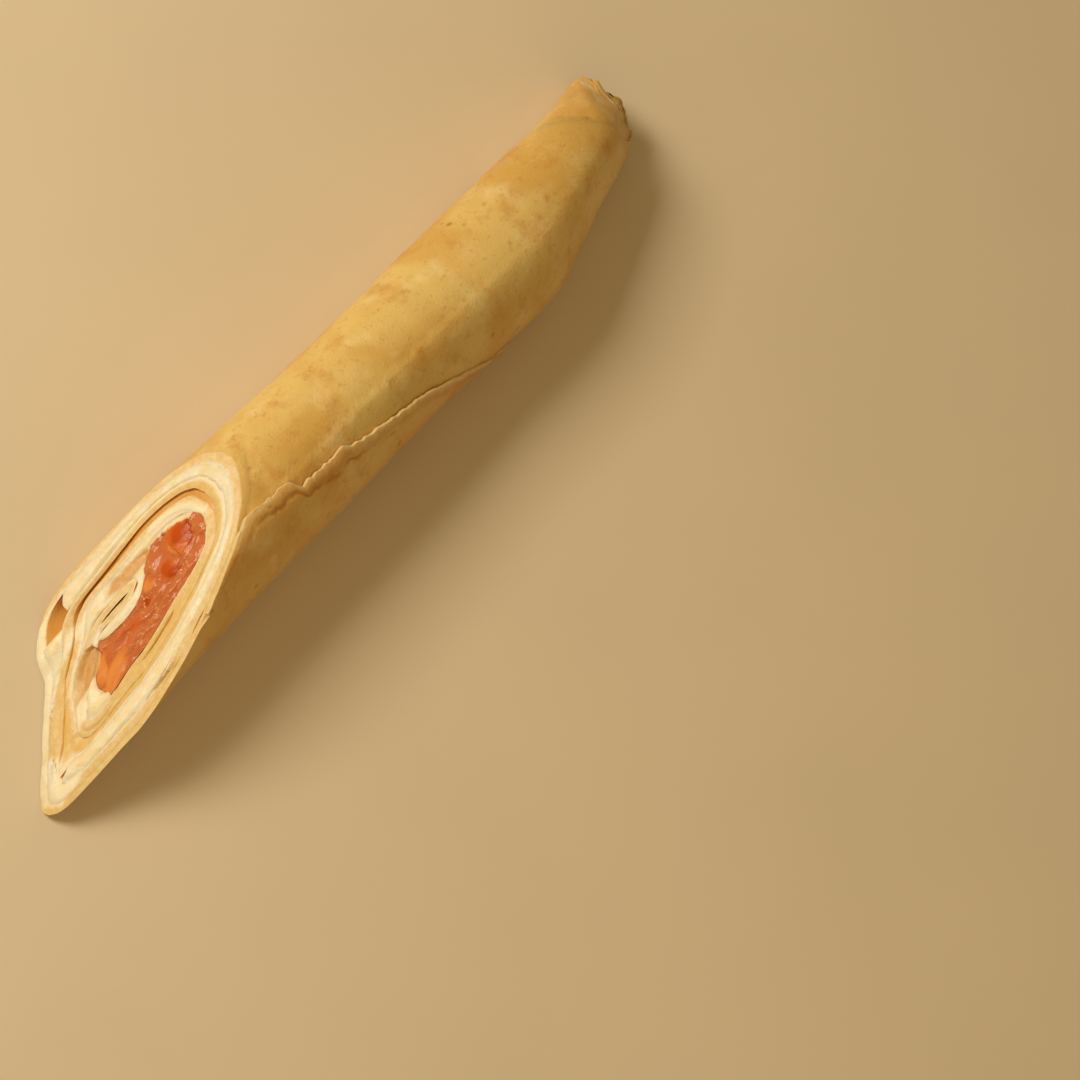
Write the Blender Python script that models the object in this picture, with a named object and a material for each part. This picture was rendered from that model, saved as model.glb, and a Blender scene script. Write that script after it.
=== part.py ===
"""A rolled crepe filled with soft cheese and smoked salmon, cut on the slant at one end.

The crepe is a round sheet rolled up along X. Its section is a spiral that starts at the free flap and
winds inwards to a small hairpin fold. Lengths are in millimetres and angles in degrees until the meshes
are made. In a section, the first number runs across towards -Y and the second runs up.
"""

import math

import bmesh
import bpy
import numpy as np

MM = 0.001

# The roll's outline at the cut: an arch on a flat underside, with squarish lower corners
HALF_WIDTH = 13.9
TOP_HEIGHT = 14.4
UNDER_HEIGHT = 13.9
BOTTOM_DEPTH = 13.4
LEFT_SHOULDER_POWER = 2.2
RIGHT_SHOULDER_POWER = 1.65
LEFT_CORNER_POWER = 6.5
RIGHT_CORNER_POWER = 4.4
CORNER_FROM = -1.6

# The crepe, which is rounder in its outer half, and the clearance between pieces that touch
CREPE_THICKNESS = 1.1
CREPE_HALF_LENGTH = 115.0
OUTER_RIM_POWER = 1.7
INNER_RIM_POWER = 3.0
RIM_WAVE = 0.7
RIM_WAVE_RATES = (0.31, 0.83)
RIM_WAVE_FROM = 20.0
EDGE_SHARE = 0.993
GAP = 0.3

# The knife's plane: where it crosses the axis, and how far it runs along X per millimetre of section
CUT_CENTRE = -30.0
CUT_PER_ACROSS = -1.24
CUT_PER_UP = 1.69

# Lengthwise, the roll has a slight waist, swells once more, bends to one side and narrows to its uncut end.
# Each entry has a place along X, the shares of the width and of the height there, and the shift in Y
LENGTHWISE = [
    (-70, 1.0, 1.0, 0.0), (-20, 0.985, 0.99, 0.5), (10, 0.96, 0.97, -0.9), (40, 0.92, 0.96, -2.3),
    (60, 0.98, 0.96, -3.3), (74, 1.0, 0.92, -4.4), (88, 0.8, 0.85, -2.5), (102, 0.7, 0.74, -1.1),
    (120, 0.6, 0.6, 1.0),
]
CORNER_SHIFTS = (-6, -2, 2, 6)
STATION_STEP = 8.0

# Past the outermost turn's end the roll sinks, so that the turn inside it lies on the same surface
SINK = 0.9
SINK_FROM = 92.0
SINK_TO = 110.0

# The spiral runs clockwise, seen from the cut end. Its angle is counted from the flap's edge
FLAP_BEARING = 81.0
FLAP_STEP = 1.4
FLAP_STEP_FROM = 235.0
SPIRAL_END = 1240.0
ROWS_PER_TURN = 28
ROW_LENGTH = 3.2
ROW_BEND = 18.0
TURN_SPACING = [
    (0, 1.4), (81, 1.5), (126, 1.8), (171, 1.5), (216, 4.2), (261, 2.3), (306, 2.2), (351, 2.1),
    (396, 2.9), (441, 3.5), (486, 3.1), (531, 1.5), (576, 1.8), (621, 2.1), (666, 1.8), (711, 1.5),
    (756, 2.6), (801, 2.5), (846, 1.8), (891, 1.6),
]

# The hairpin at the crepe's inner end: points that its middle line passes
HAIRPIN = [
    (-0.8, -8.0), (-3.0, -7.3), (-4.6, -6.0), (-5.0, -4.2), (-4.6, -1.8), (-3.6, -0.8), (-2.8, -1.7),
    (-2.9, -4.0), (-2.7, -5.9),
]
HAIRPIN_STEP = 0.9
CURVE_STEPS = 12

# Fillings that lie on the crepe's inner side: their thickness by the spiral's angle, if there is room
LININGS = {
    "cream_outer": [(232, 3.0), (430, 3.0), (450, 1.1), (514, 0.9)],
    "cream_inner": [(930, 0.5), (950, 1.0), (975, 1.6), (990, 1.2), (1002, 0.5)],
    "salmon_outer_slice": [(1009, 0.9), (1030, 1.7), (1080, 2.3), (1140, 2.2), (1188, 1.0)],
}

# Fillings with a shape of their own: points along their outside, and along their inside
BLOCKS = {
    "salmon_inner_slice": (
        [(-5.7, 2.2), (-5.0, 3.2), (-3.6, 4.2), (-2.0, 4.9), (-0.7, 4.9), (0.3, 3.8), (1.2, 2.0),
         (2.0, 0.0), (2.9, -2.2), (3.5, -4.2)],
        [(-5.4, 0.9), (-4.5, 0.7), (-3.4, 0.7), (-2.4, 0.5), (-1.7, 0.0), (-1.2, -0.9), (-0.9, -2.1),
         (-0.8, -3.4), (-0.4, -4.9)],
    ),
    "cream_corner": (
        [(5.5, -3.8), (6.0, -5.0), (5.7, -6.1), (4.8, -6.7), (3.0, -6.9), (1.0, -7.0)],
        [(5.0, -4.0), (4.8, -4.7), (4.3, -5.3), (3.4, -5.8), (2.2, -6.1), (1.2, -6.2)],
    ),
}
BLOCK_ROW_STEP = 0.9

# How far the fillings run towards the uncut end
CREAM_SHORT = 13.0
SALMON_END = 94.0
SALMON_ROUNDING = 9.0
SALMON_WAVE = 2.0
SALMON_WAVE_RATE = 7.0

# Edges that bend more than this are shaded sharp
SHARP_ANGLE = 40.0


def smooth_step(share):
    """0 below 0, 1 above 1, and an even S-curve between."""
    share = min(max(share, 0.0), 1.0)
    return share * share * (3 - 2 * share)


def outline_radius(bearing):
    """The roll's outer radius at a bearing: round above, squarer towards the two lower corners."""
    across = math.cos(math.radians(bearing))
    up = math.sin(math.radians(bearing))
    right = (1 + across) / 2
    shoulder = LEFT_SHOULDER_POWER + (RIGHT_SHOULDER_POWER - LEFT_SHOULDER_POWER) * right
    corner = LEFT_CORNER_POWER + (RIGHT_CORNER_POWER - LEFT_CORNER_POWER) * right
    power = shoulder + (corner - shoulder) * smooth_step(CORNER_FROM * up)
    height = TOP_HEIGHT if up > 0 else UNDER_HEIGHT
    radius = (abs(across / HALF_WIDTH) ** power + abs(up / height) ** power) ** (-1 / power)
    return min(radius, BOTTOM_DEPTH / -up) if up < 0 else radius


def spacing(angle):
    """The distance from the turn at this angle to the next turn inside it."""
    for (start, before), (end, after) in zip(TURN_SPACING, TURN_SPACING[1:]):
        if angle <= end:
            return before + (after - before) * smooth_step((angle - start) / (end - start))
    return TURN_SPACING[-1][1]


def turn_radius(angle):
    """Radius of the crepe's outside. Each turn lies inside the one before it."""
    if angle < 360:
        step = FLAP_STEP * smooth_step((angle - FLAP_STEP_FROM) / (360 - FLAP_STEP_FROM))
        return outline_radius(FLAP_BEARING - angle) - step
    return turn_radius(angle - 360) - spacing(angle - 360)


def spiral_point(angle):
    bearing = math.radians(FLAP_BEARING - angle)
    return np.array([math.cos(bearing), math.sin(bearing)]) * turn_radius(angle)


def unit(vector):
    return vector / np.linalg.norm(vector)


def left_of(direction):
    return np.array([-direction[1], direction[0]])


def distance(point, corners):
    """From a point to the nearest place on a line of straight runs."""
    start, run = corners[:-1], np.diff(corners, axis=0)
    share = np.clip(((point - start) * run).sum(1) / (run * run).sum(1), 0, 1)
    return np.linalg.norm(point - start - run * share[:, None], axis=1).min()


def row_angles():
    """Angles of the rows on one turn, closer together where the outline bends sharply."""
    angles = np.arange(0, 361)
    points = np.array([spiral_point(a) for a in angles])
    runs = np.diff(points, axis=0)
    bearings = np.unwrap(np.arctan2(runs[:, 1], runs[:, 0]))
    bends = np.abs(np.gradient(bearings))
    effort = np.linalg.norm(runs, axis=1) / ROW_LENGTH + np.degrees(bends) / ROW_BEND
    total = np.concatenate([[0], np.cumsum(effort)])
    return np.interp(np.arange(ROWS_PER_TURN) * total[-1] / ROWS_PER_TURN, total, angles)


def through(points, step):
    """Points at an even step on a smooth curve through the given ones."""
    points = np.array(points, float)
    ends = [2 * points[0] - points[1], *points, 2 * points[-1] - points[-2]]
    fine = []
    for before, start, end, after in zip(ends, ends[1:], ends[2:], ends[3:]):
        for t in np.linspace(0, 1, CURVE_STEPS, endpoint=False):
            fine.append(0.5 * (
                2 * start + (end - before) * t
                + (2 * before - 5 * start + 4 * end - after) * t ** 2
                + (3 * start - before - 3 * end + after) * t ** 3))
    fine = np.array([*fine, points[-1]])
    run = np.concatenate([[0], np.cumsum(np.linalg.norm(np.diff(fine, axis=0), axis=1))])
    places = np.linspace(0, run[-1], max(2, round(run[-1] / step) + 1))
    return np.column_stack([np.interp(places, run, fine[:, k]) for k in range(2)])


class CrepeLine:
    """The crepe's section: the outer and inner face of each row, and its distance from the flap's edge."""

    def __init__(self):
        turn = row_angles()
        angles = [a + 360 * k for k in range(4) for a in turn if a + 360 * k <= SPIRAL_END]
        outward = [left_of(unit(spiral_point(a + 1) - spiral_point(max(a - 1, 0)))) for a in angles]
        outer = [spiral_point(a) for a in angles]
        middle = [o - n * CREPE_THICKNESS / 2 for o, n in zip(outer, outward)]
        fold = through([middle[-1], *HAIRPIN], HAIRPIN_STEP)[1:]
        middle = np.array([*middle, *fold])
        for k in range(len(angles), len(middle)):
            ahead = middle[min(k + 1, len(middle) - 1)]
            outward.append(left_of(unit(ahead - middle[k - 1])))
        self.angles = np.array(angles)
        self.outward = np.array(outward)
        self.outer = middle + self.outward * CREPE_THICKNESS / 2
        self.inner = middle - self.outward * CREPE_THICKNESS / 2
        steps = np.linalg.norm(np.diff(middle, axis=0), axis=1)
        self.run = np.concatenate([[0], np.cumsum(steps)])
        self.half_width = self.run[-1] / 2

    def rim(self, row):
        """How far along X the round sheet reaches on this row, from its widest place."""
        share = abs(self.half_width - self.run[row]) / self.half_width
        power = OUTER_RIM_POWER if self.run[row] < self.half_width else INNER_RIM_POWER
        reach = CREPE_HALF_LENGTH * (1 - min(share, EDGE_SHARE) ** power) ** (1 / power)
        slow, quick = (rate * self.run[row] for rate in RIM_WAVE_RATES)
        wave = math.sin(slow) + 0.6 * math.sin(quick + 1.0)
        return reach + RIM_WAVE * wave * smooth_step(reach / RIM_WAVE_FROM)

    def lining(self, thickness_by_angle):
        """The outer and inner points, and the rows, of a filling that lies on the crepe's inner side."""
        angles, wanted = zip(*thickness_by_angle)
        rows = [k for k, a in enumerate(self.angles) if angles[0] <= a <= angles[-1]]
        thickness = np.interp(self.angles[rows], angles, wanted)
        normal = self.outward[rows]
        outer = self.inner[rows] - GAP * normal
        for k, row in enumerate(rows):
            onward = row + ROWS_PER_TURN
            if onward + 3 < len(self.angles):
                room = distance(outer[k], self.outer[onward - 3:onward + 4]) - GAP
                thickness[k] = min(thickness[k], room)
        return outer, outer - normal * thickness[:, None], rows


def cut_at(point):
    """Where the knife's plane crosses the line along X through a point of the section."""
    return CUT_CENTRE + CUT_PER_ACROSS * point[0] + CUT_PER_UP * point[1]


def stations():
    first = cut_at((HALF_WIDTH, -BOTTOM_DEPTH))
    count = math.ceil((CREPE_HALF_LENGTH + 2 - first) / STATION_STEP)
    return first + np.arange(count + 1) * STATION_STEP


def lengthwise(x):
    """Shares of the width and height, and the shift in Y, at a place along X, with rounded corners."""
    places, *columns = zip(*LENGTHWISE)
    return [np.mean([np.interp(x + shift, places, column) for shift in CORNER_SHIFTS]) for column in columns]


def sink(x):
    return SINK * smooth_step((x - SINK_FROM) / (SINK_TO - SINK_FROM))


def material(name, colour, roughness):
    made = bpy.data.materials.new(name)
    made.use_nodes = True
    shader = made.node_tree.nodes["Principled BSDF"]
    shader.inputs["Base Color"].default_value = (*colour, 1)
    shader.inputs["Roughness"].default_value = roughness
    shader.inputs["Metallic"].default_value = 0
    return made


def layer(name, outer, inner, near, far, finish):
    """One closed layer of the roll.

    outer and inner are the rows' points in the section. Each face of a row runs along X from its own
    entry in near, a pair, to the row's entry in far.
    """
    places = stations()
    widths, heights, bends = np.array([lengthwise(x) for x in places]).T
    sinks = [sink(x) for x in places]
    mesh = bmesh.new()
    made = {}

    def vertex(row, face, place):
        x = min(max(place, near[row][face]), far[row])
        key = (row, face, round(x, 3))
        if key not in made:
            across, up = (outer, inner)[face][row]
            width = np.interp(x, places, widths)
            height = np.interp(x, places, heights)
            y = np.interp(x, places, bends) - across * width
            z = (up + BOTTOM_DEPTH) * height - np.interp(x, places, sinks)
            made[key] = mesh.verts.new((x * MM, y * MM, z * MM))
        return made[key]

    def patch(*corners):
        corners = list(dict.fromkeys(corners))
        if len(corners) > 2 and mesh.faces.get(corners) is None:
            mesh.faces.new(corners)

    first, last = places[0] - STATION_STEP, places[-1] + STATION_STEP
    columns = [first, *places, last]
    rows = range(len(outer))
    for row in rows[:-1]:
        following = row + 1
        for x, ahead in zip(columns, columns[1:]):
            for face in (0, 1):
                patch(vertex(row, face, x), vertex(row, face, ahead),
                      vertex(following, face, ahead), vertex(following, face, x))
        for x in (first, last):
            patch(vertex(row, 0, x), vertex(row, 1, x), vertex(following, 1, x), vertex(following, 0, x))
    for row in (0, rows[-1]):
        for x, ahead in zip(columns, columns[1:]):
            patch(vertex(row, 0, x), vertex(row, 0, ahead), vertex(row, 1, ahead), vertex(row, 1, x))
    bmesh.ops.recalc_face_normals(mesh, faces=mesh.faces)
    data = bpy.data.meshes.new(name)
    mesh.to_mesh(data)
    mesh.free()
    data.shade_smooth()
    data.set_sharp_from_angle(angle=math.radians(SHARP_ANGLE))
    data.materials.append(finish)
    made_object = bpy.data.objects.new(name, data)
    bpy.context.scene.collection.objects.link(made_object)
    return made_object


def cut_pairs(outer, inner):
    return [(cut_at(o), cut_at(i)) for o, i in zip(outer, inner)]


def make_crepe(line, finish):
    edge = (1 - EDGE_SHARE) * line.half_width
    rows = [k for k in range(len(line.run)) if line.run[k] >= edge]
    near = []
    for k in rows:
        start = cut_at(line.outer[k]), cut_at(line.inner[k])
        if line.run[k] < line.half_width:
            start = tuple(max(x, -line.rim(k)) for x in start)
        near.append(start)
    layer("crepe", line.outer[rows], line.inner[rows], near, [line.rim(k) for k in rows], finish)


def make_linings(line, finishes):
    for name, thickness_by_angle in LININGS.items():
        outer, inner, rows = line.lining(thickness_by_angle)
        filling = name.split("_")[0]
        far = [line.rim(k) - CREAM_SHORT for k in rows]
        if filling == "salmon":
            far = slice_end(len(rows))
        layer(name, outer, inner, cut_pairs(outer, inner), far, finishes[filling])


def make_blocks(finishes):
    for name, (outside, inside) in BLOCKS.items():
        count = len(through(outside, BLOCK_ROW_STEP))
        outer, inner = (even_rows(points, count) for points in (outside, inside))
        layer(name, outer, inner, cut_pairs(outer, inner), slice_end(count), finishes[name.split("_")[0]])


def even_rows(points, count):
    fine = through(points, BLOCK_ROW_STEP / 20)
    return fine[np.linspace(0, len(fine) - 1, count).round().astype(int)]


def slice_end(count):
    """Far ends of a slice of salmon, which is rounded like a leaf and a little wavy."""
    share = np.linspace(-1, 1, count)
    return SALMON_END - SALMON_ROUNDING * share ** 2 + SALMON_WAVE * np.sin(SALMON_WAVE_RATE * share)


def centre_over_base():
    """Puts the origin under the middle of the roll, on the surface that it rests on."""
    objects = [o for o in bpy.context.scene.objects if o.type == "MESH"]
    corners = np.array([v.co for o in objects for v in o.data.vertices])
    low, high = corners.min(0), corners.max(0)
    for o in objects:
        o.location = (-(low[0] + high[0]) / 2, -(low[1] + high[1]) / 2, -low[2])


def main():
    for old in list(bpy.data.objects):
        bpy.data.objects.remove(old)
    finishes = {
        "crepe": material("crepe", (0.78, 0.52, 0.2), 0.5),
        "cream": material("cream", (0.92, 0.82, 0.6), 0.45),
        "salmon": material("salmon", (0.72, 0.2, 0.07), 0.3),
    }
    line = CrepeLine()
    make_crepe(line, finishes["crepe"])
    make_linings(line, finishes)
    make_blocks(finishes)
    centre_over_base()


main()
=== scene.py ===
import math

import bmesh
import bpy
import numpy as np
from mathutils import Matrix, Vector


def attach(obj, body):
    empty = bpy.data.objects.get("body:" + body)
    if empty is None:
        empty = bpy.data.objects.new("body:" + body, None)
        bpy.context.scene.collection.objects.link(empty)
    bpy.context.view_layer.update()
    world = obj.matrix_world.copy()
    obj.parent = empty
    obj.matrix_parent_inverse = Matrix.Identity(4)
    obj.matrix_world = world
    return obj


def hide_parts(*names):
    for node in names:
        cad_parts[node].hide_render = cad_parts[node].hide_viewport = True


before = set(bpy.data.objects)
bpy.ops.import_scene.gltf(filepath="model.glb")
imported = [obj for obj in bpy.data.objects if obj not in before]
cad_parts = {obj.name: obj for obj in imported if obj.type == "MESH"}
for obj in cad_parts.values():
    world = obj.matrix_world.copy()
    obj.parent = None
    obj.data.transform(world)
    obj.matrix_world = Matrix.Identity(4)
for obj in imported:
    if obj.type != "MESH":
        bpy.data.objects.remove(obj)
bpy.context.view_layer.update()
print("frame loaded with nodes", ", ".join(sorted(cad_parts)))

mm = 0.001  # the shapes below are worked out in millimetres


def smoothStep(share):
    share = np.clip(share, 0, 1)
    return share * share * (3 - 2 * share)


def rising(value, start, end):
    # 0 before the start and 1 past the end, with soft corners; the end may be the lower of the two
    return smoothStep((value - start) / (end - start))


def between(start, end, share):
    return start + (end - start) * share


def nearness(away, reach):
    # 1 at no distance, and 0 from the reach on
    return smoothStep(1 - away / reach)


def dome(share):
    # rises from 0 at both ends to 1 in the middle, with soft feet
    return 16 * share ** 2 * (1 - share) ** 2


def unitRows(vectors):
    return vectors / np.maximum(np.linalg.norm(vectors, axis=-1, keepdims=True), 1e-9)


mixing = {  # large odd numbers, which give each corner of a noise's cells a value of its own
    "perAxis": (73856093, 19349663, 83492791), "perSeed": 7919, "start": 17,
    "shiftAndFactor": ((13, 1274126177), (11, 668265263)), "lastShift": 15, "origin": 137.3,
}


def softNoise(points, size, seed):
    # smooth random values, mostly between -1 and 1, with features of about this size
    points = np.asarray(points, float)
    dims = points.shape[-1]
    flat = points.reshape(-1, dims) / size + mixing["origin"]
    cell = np.floor(flat).astype(np.int64)
    share = smoothStep(flat - cell)
    total = np.zeros(len(flat))
    for corner in range(2 ** dims):
        pick = [(corner >> k) & 1 for k in range(dims)]
        mixed = np.full(len(flat), seed * mixing["perSeed"] + mixing["start"], np.int64)
        weight = np.ones(len(flat))
        for k in range(dims):
            mixed ^= (cell[:, k] + pick[k]) * mixing["perAxis"][k]
            weight *= share[:, k] if pick[k] else 1 - share[:, k]
        for shift, factor in mixing["shiftAndFactor"]:
            mixed = (mixed ^ (mixed >> shift)) * factor & 0x7FFFFFFF
        mixed ^= mixed >> mixing["lastShift"]
        total += weight * ((mixed & 0xFFFFF) / 0x7FFFF - 1)
    return total.reshape(points.shape[:-1])


def lineNoise(places, size, seed):
    return softNoise(np.asarray(places, float)[..., None], size, seed)


def layeredNoise(points, layers):
    # layers are (height, size, seed)
    return sum(height * softNoise(points, size, seed) for height, size, seed in layers)


def patchy(points, size, seed, depth):
    # mostly between 1 and 1 less twice the depth
    return 1 - depth + depth * softNoise(points, size, seed)


def fromTable(table, place):
    at, value = np.array(table, float).T
    return np.interp(place, at, value)


def spacedPlaces(steps, start, end, fineCount=4000):
    # places from start to end, whose distances follow the list of (place, step)
    fine = np.linspace(start, end, fineCount)
    density = 1 / fromTable(steps, fine)
    total = np.concatenate([[0], np.cumsum((density[1:] + density[:-1]) / 2 * np.diff(fine))])
    return np.interp(np.linspace(0, total[-1], round(total[-1]) + 1), total, fine)


def awayFromLine(spots, line):
    # distance from each spot to a line with corners (across, up, half width), less its half width there
    least = np.full(spots.shape[:-1], 1e9)
    for start, end in zip(np.array(line, float), np.array(line[1:], float)):
        run = end[:2] - start[:2]
        along = np.clip(((spots - start[:2]) @ run) / (run @ run), 0, 1)
        away = np.linalg.norm(spots - start[:2] - along[..., None] * run, axis=-1)
        least = np.minimum(least, away - start[2] - (end[2] - start[2]) * along)
    return least


def ovalReach(spots, across, up, long, short, tilt):
    # 0 in the middle of a tilted oval and 1 on its edge
    turn = math.radians(tilt)
    aside, above = spots[..., 0] - across, spots[..., 1] - up
    along = aside * math.cos(turn) + above * math.sin(turn)
    over = above * math.cos(turn) - aside * math.sin(turn)
    return np.hypot(along / long, over / short)


# The roll's section, which is the one the solids were made from. The first number of a point runs
# across towards -Y, and the second runs up from the roll's axis. Angles go round the spiral inwards,
# from the flap's edge, and bearings are those seen from the cut end

roll = {
    "halfWidth": 13.9, "topHeight": 14.4, "underHeight": 13.9, "bottomDepth": 13.4,
    # how square the outline is above and below, each on the left and on the right
    "shoulders": (2.2, 1.65), "corners": (6.5, 4.4),
    "cornerSine": -0.625,  # of the bearing from which the lower outline is as square as its corners
    "thickness": 1.1,
    "flapBearing": 81.0, "flapStep": 1.4, "flapStepOver": (235.0, 360.0), "spiralEnd": 1240.0,
    # distance to the next turn, by the angle
    "turnSpacing": [
        (0, 1.4), (81, 1.5), (126, 1.8), (171, 1.5), (216, 4.2), (261, 2.3), (306, 2.2), (351, 2.1),
        (396, 2.9), (441, 3.5), (486, 3.1), (531, 1.5), (576, 1.8), (621, 2.1), (666, 1.8), (711, 1.5),
        (756, 2.6), (801, 2.5), (846, 1.8), (891, 1.6), (2000, 1.6)],
    "secondTurn": 362.0,  # from this angle on, another turn lies outside
    "oneTurn": (300.0, 420.0),  # least and most by which the angle of the turn beside a point differs
    # the small fold at the crepe's inner end
    "hairpin": [
        (-0.8, -8.0), (-3.0, -7.4), (-4.35, -6.1), (-4.7, -4.2), (-4.6, -2.2), (-3.95, -1.15),
        (-3.35, -1.9), (-3.3, -4.0), (-3.1, -5.9)],
    "angleStep": 0.5, "lineStep": 0.1, "smoothing": (6, 4),  # of the line and of its normals, in steps
    # place along X, shares of the width and of the height, shift in Y
    "lengthwise": [
        (-70, 1.0, 1.0, 0.0), (-20, 0.985, 0.99, 0.5), (10, 0.96, 0.97, -0.9), (40, 0.92, 0.96, -2.3),
        (60, 0.98, 0.96, -3.3), (74, 1.0, 0.92, -4.4), (88, 0.8, 0.85, -2.5), (102, 0.7, 0.74, -1.1),
        (120, 0.6, 0.6, 1.0)],
    "softening": (-6, -2, 2, 6),  # the table is read at these shifts, which rounds its corners
    "sink": 0.9, "sinkOver": (92.0, 110.0),
    "farOver": (104.0, 116.0), "farLower": 0.3, "farWider": 0.12,  # the gathered end spreads
    "foldDepth": 0.2, "foldSize": 0.45, "foldSeed": 4, "foldLength": 9.0,
    "foldsOver": (99.0, 113.0), "foldsAbove": (0.0, 3.0), "foldsUp": (-0.3, 0.7),
    "unevenDepth": 0.45, "unevenSize": 17.0, "unevenSeed": 3, "unevenAbove": (1.0, 8.0), "axisReach": 6.0,
    "middleX": 25.4443, "middleY": -1.2396,  # what the frame has at its origin
    "restHeight": 0.02,  # nothing lies lower over the surface that the roll rests on
}


def outlineRadius(bearing):
    across = np.cos(np.radians(bearing))
    up = np.sin(np.radians(bearing))
    right = (1 + across) / 2
    shoulder, corner = between(*roll["shoulders"], right), between(*roll["corners"], right)
    power = between(shoulder, corner, rising(up, 0, roll["cornerSine"]))
    height = np.where(up > 0, roll["topHeight"], roll["underHeight"])
    reach = np.abs(across / roll["halfWidth"]) ** power + np.abs(up / height) ** power
    return np.minimum(reach ** (-1 / power), roll["bottomDepth"] / np.maximum(-up, 0.01))


def turnSpacing(angle):
    places, widths = np.array(roll["turnSpacing"], float).T
    k = np.clip(np.searchsorted(places, angle) - 1, 0, len(places) - 2)
    return between(widths[k], widths[k + 1], rising(angle, places[k], places[k + 1]))


def spiralPoint(angle):
    turn = np.floor(angle / 360)
    first = angle - 360 * turn
    drop = roll["flapStep"] * rising(first, *roll["flapStepOver"])
    radius = outlineRadius(roll["flapBearing"] - first) - drop
    for k in range(int(roll["spiralEnd"] // 360)):
        radius = radius - np.where(turn > k, turnSpacing(first + 360 * k), 0)
    bearing = np.radians(roll["flapBearing"] - angle)
    return np.stack([np.cos(bearing) * radius, np.sin(bearing) * radius], -1)


def through(points, step, stretches=16):
    # points at an even step on a smooth curve through the given ones
    points = np.array(points, float)
    ends = [2 * points[0] - points[1], *points, 2 * points[-1] - points[-2]]
    fine = []
    for before, start, end, after in zip(ends, ends[1:], ends[2:], ends[3:]):
        for t in np.linspace(0, 1, stretches, endpoint=False):
            fine.append(0.5 * (2 * start + (end - before) * t
                               + (2 * before - 5 * start + 4 * end - after) * t ** 2
                               + (3 * start - before - 3 * end + after) * t ** 3))
    return evenly(np.array([*fine, points[-1]]), step)


def evenly(points, step):
    run = runAlong(points)
    places = np.linspace(0, run[-1], max(2, round(run[-1] / step) + 1))
    return np.column_stack([np.interp(places, run, points[:, k]) for k in range(2)])


def runAlong(points):
    return np.concatenate([[0], np.cumsum(np.linalg.norm(np.diff(points, axis=0), axis=1))])


def smoothed(values, reach):
    # a running average with soft ends
    kernel = np.hanning(2 * reach + 3)[1:-1]
    kernel /= kernel.sum()
    padded = np.pad(values, ((reach, reach), (0, 0)), mode="reflect", reflect_type="odd")
    return np.column_stack([np.convolve(padded[:, k], kernel, "valid") for k in range(values.shape[1])])


def leftOf(directions):
    return np.stack([-directions[..., 1], directions[..., 0]], -1)


def sectionLine():
    # the rolled crepe seen from its cut end: both faces, by the distance from the flap's edge
    angles = np.arange(0, roll["spiralEnd"], roll["angleStep"])
    outer = spiralPoint(angles)
    normal = leftOf(unitRows(spiralPoint(angles + 1) - spiralPoint(np.maximum(angles - 1, 0))))
    spiral = outer - normal * roll["thickness"] / 2
    fold = through([spiral[-1], *roll["hairpin"]], roll["lineStep"])[1:]
    middle = smoothed(evenly(np.concatenate([spiral, fold]), roll["lineStep"]), roll["smoothing"][0])
    run = runAlong(middle)
    normal = unitRows(smoothed(leftOf(unitRows(np.gradient(middle, axis=0))), roll["smoothing"][1]))
    angleRun = runAlong(spiral)
    return {
        "run": run, "middle": middle, "normal": normal,
        "outer": middle + normal * roll["thickness"] / 2,
        "inner": middle - normal * roll["thickness"] / 2,
        "angles": angles, "angleRun": angleRun, "angle": np.interp(run, angleRun, angles),
        "half": run[-1] / 2, "length": run[-1],
    }


section = sectionLine()
print("crepe rolled up from a sheet %.0f mm long" % section["length"])


def sectionAt(run, face):
    return np.stack([np.interp(run, section["run"], section[face][:, k]) for k in range(2)], -1)


def angleAt(run):
    return np.interp(run, section["run"], section["angle"])


def runAtAngle(angle):
    return float(np.interp(angle, section["angles"], section["angleRun"]))


def lengthwise(x):
    # shares of the width and the height, and the shift in Y, at places along X
    at, *columns = np.array(roll["lengthwise"], float).T
    return [np.mean([np.interp(x + shift, at, column) for shift in roll["softening"]], axis=0)
            for column in columns]


def unevenness(made):
    # slow, shared by all layers, and none on the flat underside
    depth = roll["unevenDepth"] * patchy(made, roll["unevenSize"], roll["unevenSeed"], 0.5)
    return depth * rising(made[..., 2], *roll["unevenAbove"])


def farFolds(x, z, points):
    # the far end is gathered in folds, which fade out towards the underside
    aim = unitRows(points)
    places = np.stack([x / roll["foldLength"], aim[..., 0], aim[..., 1]], -1)
    fold = roll["foldDepth"] * patchy(places, roll["foldSize"], roll["foldSeed"], 0.5)
    return (fold * rising(x, *roll["foldsOver"]) * rising(z, *roll["foldsAbove"])
            * rising(aim[..., 1], *roll["foldsUp"]))


def place(x, points):
    # from a place along X and a point of the section to the frame, in millimetres
    width, height, bend = lengthwise(x)
    far = rising(x, *roll["farOver"])
    width, height = width * (1 + roll["farWider"] * far), height * (1 - roll["farLower"] * far)
    y = bend - points[..., 0] * width
    z = (points[..., 1] + roll["bottomDepth"]) * height - roll["sink"] * rising(x, *roll["sinkOver"])
    made = np.stack([x - roll["middleX"], y - roll["middleY"], z], -1)
    axis = np.stack([x - roll["middleX"], bend - roll["middleY"], roll["bottomDepth"] * height], -1)
    inwards = axis - made
    reach = np.linalg.norm(inwards, axis=-1, keepdims=True)
    made = made + inwards / np.maximum(reach, roll["axisReach"]) * unevenness(made)[..., None]
    made = made + inwards * farFolds(x, z, points)[..., None]
    made[..., 2] = np.maximum(made[..., 2], roll["restHeight"])
    return made


# The slanted cut. All layers end on one uneven face, which has a few hollows. Depths run along X

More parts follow.
